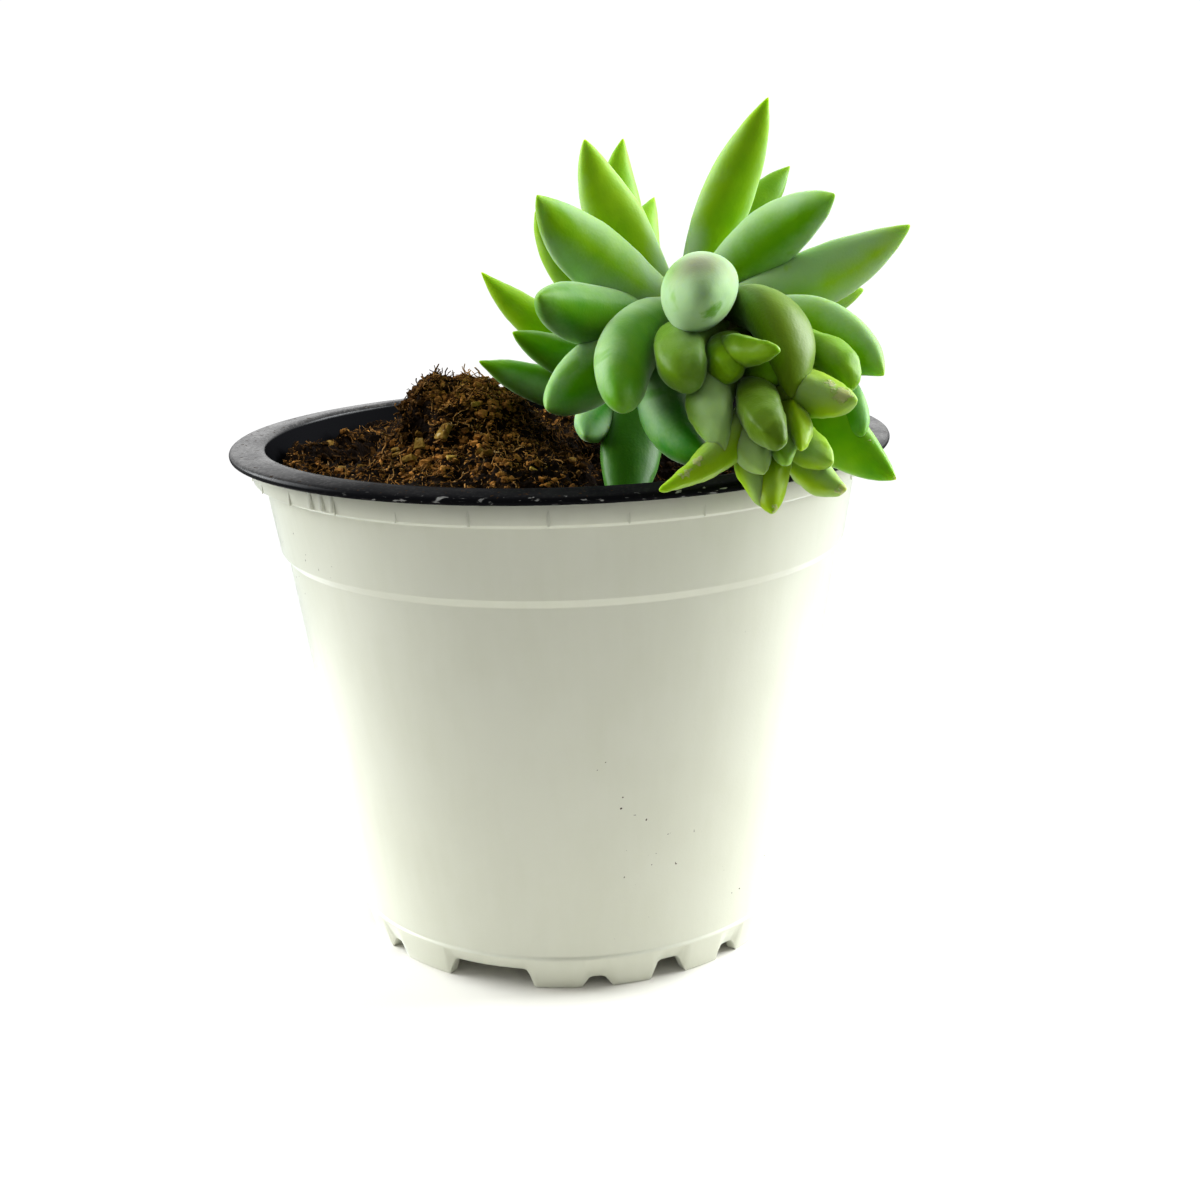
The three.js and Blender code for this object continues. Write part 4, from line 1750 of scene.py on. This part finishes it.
@dataclass(frozen=True)
class LeafForm:
    """The outline that leaves of one growth stage and end share.

    Attributes:
        widest: where a leaf is widest, as a share of its length.
        foot: how narrow its foot is, as a share of its width.
        point: how pointed it is.
        end: how sharp its very tip is, from 0.5 for round to 1 for sharp.
        flat: share of its thickness on its flatter face.
        keel: how far a ridge stands out along the middle of each face, as a share.
        keel_span: shares of the length between which the ridge runs.
        sides: how many points a ring has.
        stations: shares of its length at which it has a ring of points.
    """

    widest: float
    foot: float
    point: float
    end: float
    flat: float = 0.42
    keel: float = 0.0
    keel_span: Tuple[float, float] = (0.1, 0.97)
    sides: int = 12
    stations: Tuple[float, ...] = (
        0.0, 0.03, 0.09, 0.17, 0.27, 0.38, 0.48, 0.57, 0.66, 0.75, 0.83, 0.9, 0.95, 0.985,
    )

    def outline(self, along: float) -> float:
        """Draws the leaf's outline.

        Args:
            along: a share of its length.

        Returns:
            Its half width there, as a share of the greatest.
        """
        if along < self.widest:
            rise = math.sin(math.pi / 2 * along / self.widest) ** 1.3
            return self.foot + (1 - self.foot) * rise
        return (1 - ((along - self.widest) / (1 - self.widest)) ** self.point) ** self.end

    def margin(self, place: Vector) -> float:
        """Says how near a point of the mould is to a margin.

        Args:
            place: the point.

        Returns:
            1 on a margin and 0 on the middle line.
        """
        depth = self.flat if place.y > 0 else 1 - self.flat
        across, deep = abs(place.x), abs(place.y) / (2 * depth)
        return across / max(math.hypot(across, deep), 1e-6)

    def swell(self) -> None:
        """Gives the mould in edit mode its flatter and its rounder face, and its keels."""
        centre = (0.0, 0.0, 0.0)
        for side, depth in ((1, self.flat), (-1, 1 - self.flat)):
            choose(lambda place: place.y * side > 1e-4)
            bpy.ops.transform.resize(value=(1.0, 2 * depth, 1.0), center_override=centre)
        if self.keel:
            start, end = self.keel_span
            choose(lambda place: abs(place.x) < 1e-4 and start < place.z < end)
            ridge = (1.0, 1.0 + self.keel, 1.0)
            bpy.ops.transform.resize(value=ridge, center_override=centre)
            bpy.ops.transform.edge_crease(value=0.25)

    def mould(self) -> bpy.types.Object:
        """Models a straight leaf of unit length, width and thickness, foot to tip along X.

        Returns:
            The leaf.
        """
        deselect()
        share = self.outline(0.0) * 0.8
        bpy.ops.mesh.primitive_circle_add(
            vertices=self.sides, radius=share / 2, enter_editmode=True
        )
        bpy.ops.mesh.edge_face_add()
        bpy.ops.mesh.select_all(action="SELECT")
        bpy.ops.mesh.region_to_loop()
        for before, along in zip(self.stations, self.stations[1:]):
            move = {"value": (0.0, 0.0, along - before)}
            bpy.ops.mesh.extrude_edges_move(TRANSFORM_OT_translate=move)
            ratio = self.outline(along) / share
            bpy.ops.transform.resize(value=(ratio, ratio, 1.0))
            share = self.outline(along)
        move = {"value": (0.0, 0.0, 1.0 - self.stations[-1])}
        bpy.ops.mesh.extrude_edges_move(TRANSFORM_OT_translate=move)
        bpy.ops.mesh.merge(type="CENTER")
        self.swell()
        close_up()
        mould = bpy.context.object
        modify(mould, "SUBSURF", levels=2, render_levels=2)
        low = min(point.co.z for point in mould.data.vertices)
        high = max(point.co.z for point in mould.data.vertices)
        mould.scale.z = 1 / (high - low)
        mould.location.z = -low * mould.scale.z
        settle(mould)
        points = mould.data.vertices
        write_marks(mould.data, "along", [point.co.z for point in points])
        write_marks(mould.data, "margin", [self.margin(point.co) for point in points])
        mould.location.z = -0.5
        settle(mould)
        mould.rotation_euler.y = math.pi / 2
        settle(mould)
        return mould


@dataclass
class Plant:
    """The stem with its mature leaves and the drooping shoot of young ones.

    Attributes:
        stem_radius: radius of the stem.
        stem_points: the stem's middle line, from inside the soil to the end of the shoot.
        stem_foot: where the stem's piece begins along that line.
        shoot_start: where it ends and the shoot's piece begins.
        core_end: where the shoot's inner stem ends.
        core_overlap: how far that reaches back into the lower stem.
        core_thinner: how much thinner it is.
        stem_steps: how many lengths a stem has.
        mature: the mature leaves.
        young: the young leaves.
        marks: the spots on them.
        tip_room: how far short of its marked tip a leaf ends, which leaves room for unevenness.
        keel: height of the young leaves' ridges, as a share.
        stem_relief: size and depth of the stem's unevenness.
        leaf_relief: the same of a mature leaf.
        shoot_relief: the same of the shoot.
    """

    stem_radius: float = 3.2
    stem_points: Tuple[Point, ...] = (
        (12, 4, 60),
        (13, 3, 78),
        (15, 1, 90),
        (18, -6, 99),
        (21, -17, 101),
        (25, -28, 98.5),
        (29, -38, 93),
        (31, -46, 86.5),
    )
    stem_foot: float = 8.0
    shoot_start: float = 68.0
    core_end: float = 86.0
    core_overlap: float = 3.0
    core_thinner: float = 0.3
    stem_steps: int = 24
    mature: Tuple[Leaf, ...] = (
        Leaf("leaf_top", 47, (33, -8, 132), (-0.3, 1.5, -0.5), 8.6, 7, 0.45, 0.55),
        Leaf("leaf_top_behind", 41, (38.5, 8, 121.5), (-0.5, 0, 0.5), 8.5, 6.5, 0.0, 0.35, age=0.2),
        Leaf("leaf_upper_right", 49, (40, -28, 118), (1, 3, 1.5), 9.8, 7.8, 0.6, 0.35),
        Leaf("leaf_right", 55, (52.5, -20, 113), (1, 2, -2), 10.2, 7.4, 0.8, 0.65),
        Leaf(
            "leaf_right_behind", 31, (50.5, 7, 101.5), (-0.5, 1.5, 0), 8.5, 6.6, 0.4, 0.5,
            LeafEnd.BLUNT,
        ),
        Leaf("leaf_upper_left", 46, (5, -5, 126.5), (-1.5, 1.5, -1), 10, 7.4, 0.5, 0.6),
        Leaf("leaf_back_left", 38, (11.5, 8, 126.5), (-3, 0, -0.5), 8.6, 6.6, 0.0, 0.45),
        Leaf("leaf_back", 33, (17, 18, 117), (-2.5, -1, 1), 7.4, 6, 0.0, 0.45),
        Leaf("leaf_left", 50, (-2.5, -25, 119), (-2, 2.5, -1), 10.6, 7.8, 0.6, 0.45),
        Leaf("leaf_left_behind", 40, (-3, -5, 116), (-2, 2, -2), 9.6, 7, 0.35, 0.6),
        Leaf("leaf_far_left", 30, (-12, 2, 106.5), (-1, 2, -2), 8.8, 6.8, 0.25, 0.6),
        Leaf(
            "leaf_left_blunt", 46, (-2.5, -35, 105.5), (-2, 1.5, -1.5), 9.4, 8.4, 0.45, 0.2,
            LeafEnd.BLUNT, 0.15,
        ),
        Leaf("leaf_left_middle", 28, (-7, -10, 98), (-1, 1.5, 0), 8.8, 6.8, 0.35, 0.25),
        Leaf("leaf_left_low", 24, (-12.5, -8, 93.5), (-1, 2, -0.5), 8.8, 6.6, 0.4, 0.25),
        Leaf(
            "leaf_front_left", 50, (-2, -35, 89.5), (-1.5, 1.5, -0.5), 9.8, 7.8, 0.55, 0.2,
            LeafEnd.BLUNT,
        ),
        Leaf("leaf_low_left", 32, (3.5, -26, 84), (-1, 0.5, -0.5), 9, 6.8, 0.65, 0.05, LeafEnd.BLUNT),
        Leaf(
            "leaf_front_drop", 50, (8.5, -50, 91.5), (-3, 0.5, 3), 9.4, 8.2, 0.48, 0.2,
            LeafEnd.ROUND, 0.15,
        ),
        Leaf("leaf_facing", 56, (19, -52, 106), (0, 0.5, 1.5), 12, 10.6, 0.85, 0.3, LeafEnd.ROUND),
        Leaf(
            "leaf_low_front", 39, (9, -33, 73), (-1.5, 0.5, 0), 10, 7.6, 0.1, 0.0,
            LeafEnd.BLUNT, 0.6,
        ),
        Leaf("leaf_under", 58, (20.5, -46, 83.5), (-6, 1.5, -1.5), 9.8, 7.6, 0.5, 0.05, LeafEnd.BLUNT),
        Leaf("leaf_arching", 61, (31, -48, 92), (3, -1, 6.5), 10, 7.6, 0.05, 0.6, LeafEnd.BLUNT, 0.66),
        Leaf("leaf_right_drop", 60, (46, -36, 93), (2.5, 3.5, 2.2), 10.4, 7.8, 0.6, 0.35),
        Leaf("leaf_right_under", 64, (42, -42, 85.5), (3, 3, -0.5), 9.6, 6.8, 0.5, 0.15, LeafEnd.BLUNT),
        Leaf("leaf_right_low", 68, (46, -46, 80), (1, 2.5, -2), 9.6, 7.2, 0.35, 0.3),
        Leaf("leaf_back_right", 35, (32, 22, 106), (1, -1, 1.5), 8.6, 6.6, 0.5, 0.4),
        Leaf("leaf_back_low", 27, (19, 31, 94), (0, 0, 2), 8.6, 6.6, 0.5, 0.3),
        Leaf("leaf_right_far", 24, (42, 11, 90), (0, 0, 2), 8.6, 6.6, 0.5, 0.3),
    )
    young: Tuple[Leaf, ...] = (
        Leaf(
            "young_a", 66, (18.5, -49, 94.2), (-4.2, 0.5, 1.8), 8.2, 7, 0.35, 0.4,
            LeafEnd.ROUND, 0.35,
        ),
        Leaf(
            "young_b", 68, (29, -52.5, 99), (-3.7, 0, -0.6), 4.2, 4.2, 0.15, 0.55,
            LeafEnd.ROUND, 0.1,
        ),
        Leaf("young_c", 72, (21.5, -53, 86), (-3, 0, 1.5), 7.4, 6, 0.7, 0.45, LeafEnd.BLUNT),
        Leaf(
            "young_d", 76, (28.5, -58, 87.5), (-1.5, 0, 0.5), 6.4, 5.8, 0.15, 0.5,
            LeafEnd.ROUND, 0.62,
        ),
        Leaf("young_e", 78, (31.5, -55, 86), (1.5, 0.5, 0), 3.6, 4.2, 0.2, 0.85, LeafEnd.BLUNT),
        Leaf("young_f", 68, (39.5, -45, 92.5), (3, 2, 2), 5.8, 5.2, 0.2, 0.4, LeafEnd.ROUND),
        Leaf("young_g", 74, (39.5, -51, 92), (-1, -0.5, -1.5), 7.8, 6.4, 0.5, 0.9, LeafEnd.BLUNT),
        Leaf("young_h", 80, (36, -53, 84), (-0.5, 1, -2), 5.6, 5, 0.6, 0.8, LeafEnd.BLUNT),
        Leaf("young_i", 82, (38, -52, 80), (-1, 1.5, -2.5), 5.6, 5, 0.85, 1.0, LeafEnd.BLUNT),
        Leaf("young_j", 83, (27.5, -55, 78), (0, 0.5, -0.5), 5.2, 5, 0.2, 1.0, LeafEnd.BLUNT),
        Leaf("young_k", 80, (26.5, -53.5, 78.5), (-1.5, 0, 0.5), 4.8, 4.6, 0.6, 0.9, LeafEnd.BLUNT),
        Leaf("young_l", 78, (26.5, -55, 83), (-1.5, 0.5, -0.5), 6.2, 5.4, 1.0, 0.8, LeafEnd.BLUNT),
        Leaf("young_m", 84, (29.5, -55, 84.5), (0, 0.2, -0.5), 4, 3.8, 0.4, 0.4, LeafEnd.BLUNT),
        Leaf("young_n", 76, (12.5, -58, 82), (2.5, -1, -1.5), 5.8, 4.8, 0.35, 0.75),
        Leaf("young_o", 68, (23.5, -48.5, 95.5), (-1.5, 0, 0.5), 7, 5, 0.1, 0.5, LeafEnd.ROUND),
        Leaf("young_p", 70, (29.5, -47, 94.5), (0.5, 0, 0.5), 8, 5, 0.3, 0.3, LeafEnd.ROUND),
    )
    marks: Tuple[Mark, ...] = (
        Mark("young_g", 0.85, (0.3, -1.5, 1.3), 1.3),
        Mark("young_g", 0.78, (0.0, -1.0, 2.7), 0.9),
        Mark("young_n", 0.85, (0.0, -1.5, 1.8), 1.3),
        Mark("young_n", 0.78, (0.0, -1.0, 2.0), 0.9),
        Mark("young_i", 1.0, (0.0, 0.0, 0.0), 1.6),
        Mark("young_j", 0.97, (0.6, -0.8, 0.3), 0.9),
        Mark("young_e", 0.35, (1.0, -1.6, 0.5), 0.7),
        Mark("young_e", 0.5, (0.6, -1.8, 0.6), 0.7),
        Mark("young_e", 0.6, (0.7, -1.8, 0.5), 0.7),
        Mark("young_d", 0.5, (-1.1, -2.7, 0.0), 0.6),
        Mark("young_d", 0.55, (2.8, -0.8, 0.8), 0.6),
        Mark("young_c", 0.5, (0.7, -2.8, -0.3), 1.3),
        Mark("young_h", 0.6, (1.5, -2.0, 0.5), 0.8),
        Mark("leaf_right_low", 0.8, (0.3, -1.5, 3.4), 0.9),
        Mark("leaf_right_low", 0.87, (0.1, -1.2, 3.3), 0.9),
        Mark("leaf_right_low", 1.0, (0.0, 0.0, 0.0), 0.9),
        # A painted reflection of the sky on the facing leaf's top, and a patch rubbed bare below it.
        Mark("leaf_facing", 1.0, (-0.2, 5.0, 5.8), 7.5, Stain.BLUSH),
        Mark("leaf_facing", 1.0, (1.9, 2.2, -2.6), 2.4, Stain.RUBBED),
    )
    tip_room: float = 0.4
    keel: float = 0.16
    stem_relief: Tuple[float, float] = (2.0, 0.5)
    leaf_relief: Tuple[float, float] = (7.0, 0.5)
    shoot_relief: Tuple[float, float] = (5.0, 1.0)

    def forms(self, keel: float) -> Mapping[LeafEnd, LeafForm]:
        """Gives the outline of each kind of leaf.

        Args:
            keel: the height of their ridges, as a share.

        Returns:
            An outline for each kind of tip.
        """
        return {
            LeafEnd.SHARP: LeafForm(0.54, 0.4, 1.75, 0.9, keel=keel),
            LeafEnd.BLUNT: LeafForm(0.56, 0.45, 2.1, 0.75, keel=keel),
            LeafEnd.ROUND: LeafForm(0.58, 0.5, 2.4, 0.54, keel=keel),
        }

    def on_stem(self, distance: float) -> Tuple[Vector, Vector]:
        """Finds a place on the stem's middle line.

        Args:
            distance: how far along the line it is, in millimetres.

        Returns:
            The place and the line's direction there.
        """
        points = [Vector(point) for point in self.stem_points]
        last = len(points) - 2
        for count, (start, end) in enumerate(zip(points, points[1:])):
            span = (end - start).length
            if distance <= span or count == last:
                return start.lerp(end, distance / span), (end - start).normalized()
            distance -= span
        raise ValueError("a stem needs two points")

    def leaf_piece(self, leaf: Leaf, mould: bpy.types.Mesh) -> bpy.types.Object:
        """Copies a mould, sizes, rolls and bends it, and puts it where the leaf grows.

        Args:
            leaf: the leaf.
            mould: the straight leaf of unit size.

        Returns:
            The leaf's object.
        """
        foot, direction = self.on_stem(leaf.at)
        x_axis = (Vector(leaf.tip) - foot).normalized()
        tip = Vector(leaf.tip) - x_axis * self.tip_room
        straight = (tip - foot).length
        bow = Vector(leaf.bow)
        bow -= bow.dot(x_axis) * x_axis
        y_axis = -bow.normalized()
        z_axis = x_axis.cross(y_axis)
        bend = 4 * math.atan(2 * bow.length / straight)
        length = straight * (bend / 2) / math.sin(bend / 2)
        roll = math.atan2(direction.dot(z_axis), direction.dot(y_axis))
        size = Matrix.Diagonal((length * MM, leaf.thick * MM, leaf.width * MM, 1.0))
        piece = copied(leaf.name, mould, Matrix.Rotation(roll, 4, "X") @ size)
        modify(piece, "SIMPLE_DEFORM", deform_method="BEND", angle=bend, deform_axis="Z")
        middle = (foot.lerp(tip, 0.5) + bow + Vector((0.0, POT_AXIS_Y, 0.0))) * MM
        place = Matrix((x_axis, y_axis, z_axis)).transposed().to_4x4()
        place.translation = middle
        piece.data.transform(place)
        for name, value in leaf.marks().items():
            write_marks(piece.data, name, [value] * len(piece.data.vertices))
        return piece

    def roughen(self, piece: bpy.types.Object, size: float, strength: float) -> None:
        """Makes a piece slightly uneven.

        Args:
            piece: the piece.
            size: how large the blotches are.
            strength: how deep they are.
        """
        modify(
            piece,
            "DISPLACE",
            texture=cloud_texture("leaf_relief", size),
            texture_coords="GLOBAL",
            mid_level=0.5,
            strength=strength * MM,
        )

    def tube(self, name: str, start: float, end: float, radius: float) -> bpy.types.Object:
        """Models a rounded length of stem.

        Args:
            name: its name.
            start: where it begins along the middle line.
            end: where it ends.
            radius: its radius.

        Returns:
            The stem.
        """
        curve = bpy.data.curves.new(name, "CURVE")
        curve.dimensions = "3D"
        curve.bevel_depth = radius * MM
        curve.bevel_resolution = 5
        curve.use_fill_caps = True
        line = curve.splines.new("POLY")
        line.points.add(self.stem_steps)
        for count, point in enumerate(line.points):
            place, _ = self.on_stem(start + (end - start) * count / self.stem_steps)
            place.y += POT_AXIS_Y
            point.co = (*(place * MM), 1.0)
        piece = bpy.data.objects.new(name, curve)
        bpy.context.scene.collection.objects.link(piece)
        take(piece)
        bpy.ops.object.convert(target="MESH")
        modify(piece, "SUBSURF", levels=1, render_levels=1)
        return piece

    def scars(self, table: Sequence[Leaf]) -> Tuple[Scar, ...]:
        """Places the spots on a table of leaves.

        Args:
            table: the leaves.

        Returns:
            The spots on them.
        """
        leaves = {leaf.name: leaf for leaf in table}
        found = []
        for mark in self.marks:
            if mark.leaf in leaves:
                leaf = leaves[mark.leaf]
                foot, _ = self.on_stem(leaf.at)
                bow = Vector(leaf.bow) * (4 * mark.along * (1 - mark.along))
                spot = foot.lerp(Vector(leaf.tip), mark.along) + bow + Vector(mark.shift)
                centre = (spot.x, spot.y + POT_AXIS_Y, spot.z)
                found.append(Scar(centre, mark.radius, mark.stain))
        return tuple(found)

    def leaves(self, table: Sequence[Leaf], keel: float) -> List[bpy.types.Object]:
        """Models a table of leaves from one mould for each kind of tip.

        Args:
            table: the leaves.
            keel: the height of their ridges, as a share.

        Returns:
            The leaves' objects, in the table's order.
        """
        moulds = {end: form.mould() for end, form in self.forms(keel).items()}
        made = [self.leaf_piece(leaf, moulds[leaf.end].data) for leaf in table]
        for mould in moulds.values():
            discard(mould)
        return made

    def skins(self) -> Tuple[bpy.types.Material, bpy.types.Material]:
        """Makes the finishes of the leaves.

        Returns:
            The mature leaves' material and the shoot's.
        """
        mature = LeafFinish(
            "leaf",
            green=rgb(0.025, 0.27, 0.0),
            yellow=rgb(0.46, 0.68, 0.0),
            foot=rgb(0.48, 0.68, 0.01),
            tip=rgb(0.4, 0.55, 0.0),
            wax=rgb(0.38, 0.56, 0.31),
            scars=self.scars(self.mature),
        )
        young = LeafFinish(
            "young_leaf",
            green=rgb(0.06, 0.25, 0.0),
            yellow=rgb(0.31, 0.49, 0.0),
            foot=rgb(0.28, 0.36, 0.01),
            tip=rgb(0.25, 0.4, 0.0),
            wax=rgb(0.32, 0.48, 0.19),
            scars=self.scars(self.young),
        )
        return mature.build(), young.build()

    def build(self, dresser: Dresser) -> None:
        """Models and dresses the stem, the mature leaves and the shoot.

        Args:
            dresser: what hands them over.
        """
        skin, young_skin = self.skins()
        stem = self.tube("stem", self.stem_foot, self.shoot_start, self.stem_radius)
        self.roughen(stem, *self.stem_relief)
        dresser.put(stem, StemFinish().build(), ["stem"])
        for leaf, piece in zip(self.mature, self.leaves(self.mature, 0.0)):
            self.roughen(piece, *self.leaf_relief)
            dresser.put(piece, skin, [leaf.name])
        core_start = self.shoot_start - self.core_overlap
        core = self.tube("core", core_start, self.core_end, self.stem_radius - self.core_thinner)
        shoot = joined("shoot", [core, *self.leaves(self.young, self.keel)])
        self.roughen(shoot, *self.shoot_relief)
        dresser.put(shoot, young_skin, ["shoot_tip"])


# ---- Studio --------------------------------------------------------------------------------------


@dataclass(frozen=True)
class Panel:
    """A soft light.

    Attributes:
        name: its name.
        place: where it hangs, in metres.
        aim: what it points at, in metres.
        size: the length of its sides, in metres.
        power: its power in watts.
        colour: the colour of its light, slightly blue.
    """

    name: str
    place: Point
    aim: Point
    size: float
    power: float
    colour: Point = (0.95, 0.985, 1.0)

    def hang(self) -> None:
        """Adds the light."""
        deselect()
        turn = (Vector(self.aim) - Vector(self.place)).to_track_quat("-Z", "Y").to_euler()
        bpy.ops.object.light_add(type="AREA", location=self.place, rotation=turn)
        light = bpy.context.object
        light.name = self.name
        light.data.size = self.size
        light.data.energy = self.power
        light.data.color = self.colour


@dataclass
class Studio:
    """Camera, soft light from all round except the front, and a pale round table.

    Attributes:
        camera_place: where the camera stands.
        yaw: how many degrees it is turned to the right.
        pitch: how many degrees it looks down.
        roll: how many degrees it is tilted.
        lens: its focal length.
        sensor: the width of its sensor.
        clip: how near and how far it sees, in metres.
        bright: strength of the white surroundings behind the object, as a light.
        high: their strength higher up.
        dim: their strength in front and below.
        above: their strength above the camera.
        seen: their strength to look at.
        behind: from where to where the bright part rises, as the Y of a direction.
        horizon: the same at its foot, as the Z of a direction.
        board: from where to where it passes to the part higher up.
        overhead: from where to where the front passes to the part above the camera.
        table_radius: radius of the table.
        panels: the soft lights.
    """

    camera_place: Point = (0.0, -277.25, 126.7)
    yaw: float = 1.17
    pitch: float = 14.86
    roll: float = -1.56
    lens: float = 52.5
    sensor: float = 36.0
    clip: Tuple[float, float] = (0.01, 100.0)
    bright: float = 1.2
    high: float = 0.7
    dim: float = 0.2
    above: float = 0.5
    seen: float = 1.05
    behind: Tuple[float, float] = (-0.25, 0.1)
    horizon: Tuple[float, float] = (-0.06, 0.02)
    board: Tuple[float, float] = (0.55, 0.3)
    overhead: Tuple[float, float] = (0.15, 0.6)
    table_radius: float = 150.0
    panels: Tuple[Panel, ...] = (
        Panel("left_panel", (-0.62, 0.22, 0.36), (0.0, 0.0, 0.06), 0.5, 8.8),
        Panel("right_panel", (0.62, 0.22, 0.36), (0.0, 0.0, 0.06), 0.5, 12.0),
    )

    def add_camera(self) -> None:
        """Adds the camera where the picture was taken from."""
        deselect()
        bpy.ops.object.camera_add()
        camera = bpy.context.object
        turn = Matrix.Rotation(math.radians(-self.yaw), 4, "Z")
        turn = turn @ Matrix.Rotation(math.radians(90.0 - self.pitch), 4, "X")
        turn = turn @ Matrix.Rotation(math.radians(self.roll), 4, "Z")
        place = Matrix.Translation(Vector(self.camera_place) * MM)
        camera.matrix_world = place @ turn
        camera.data.lens = self.lens
        camera.data.sensor_width = self.sensor
        camera.data.clip_start, camera.data.clip_end = self.clip
        bpy.context.scene.camera = camera

    def add_surroundings(self) -> None:
        """Makes the surroundings white to look at, and as a light dim in front and below."""
        world = bpy.data.worlds.new("surroundings")
        bpy.context.scene.world = world
        world.use_nodes = True
        world.node_tree.nodes.clear()
        graph = Graph(world.node_tree)
        white = rgb(1.0, 1.0, 1.0)
        _, y, z = graph.parts(graph.value("ShaderNodeTexCoord", "Generated"))
        shown = y.step(*self.behind) * z.step(*self.horizon)
        board = z.step(*self.board) * (self.bright - self.high) + self.high
        front = z.step(*self.overhead) * (self.above - self.dim) + self.dim
        strength = shown * (board - front) + front
        back = "ShaderNodeBackground"
        lit = graph.value(back, 0, {}, {"Color": white, "Strength": strength})
        seen = graph.value(back, 0, {}, {"Color": white, "Strength": self.seen})
        camera = graph.value("ShaderNodeLightPath", "Is Camera Ray")
        either = graph.value("ShaderNodeMixShader", 0, {}, {0: camera, 1: lit, 2: seen})
        graph.node("ShaderNodeOutputWorld", {}, {0: either})

    def add_floor(self) -> None:
        """Lays the round table that the pot stands on."""
        deselect()
        radius = self.table_radius * MM
        bpy.ops.mesh.primitive_circle_add(vertices=96, radius=radius, fill_type="NGON")
        floor = bpy.context.object
        floor.name = "floor"
        floor.location.z = -0.02 * MM
        settle(floor)
        floor.data.materials.append(FloorFinish().build())

    def build(self) -> None:
        """Sets up everything round the object."""
        self.add_camera()
        self.add_surroundings()
        self.add_floor()
        for panel in self.panels:
            panel.hang()
        bpy.context.scene.view_settings.view_transform = "Standard"


def main() -> None:
    """Loads the frame and builds the object and its surroundings round it."""
    logging.basicConfig(level=logging.INFO, format="%(name)s %(message)s")
    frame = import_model()
    dresser = Dresser()
    Pot().build(dresser)
    Soil(frame["nodes"]["soil"]).build(dresser)
    Plant().build(dresser)
    Studio().build()
    LOG.info("%d pieces", len(dresser.finished))


if __name__ == "__main__":
    main()
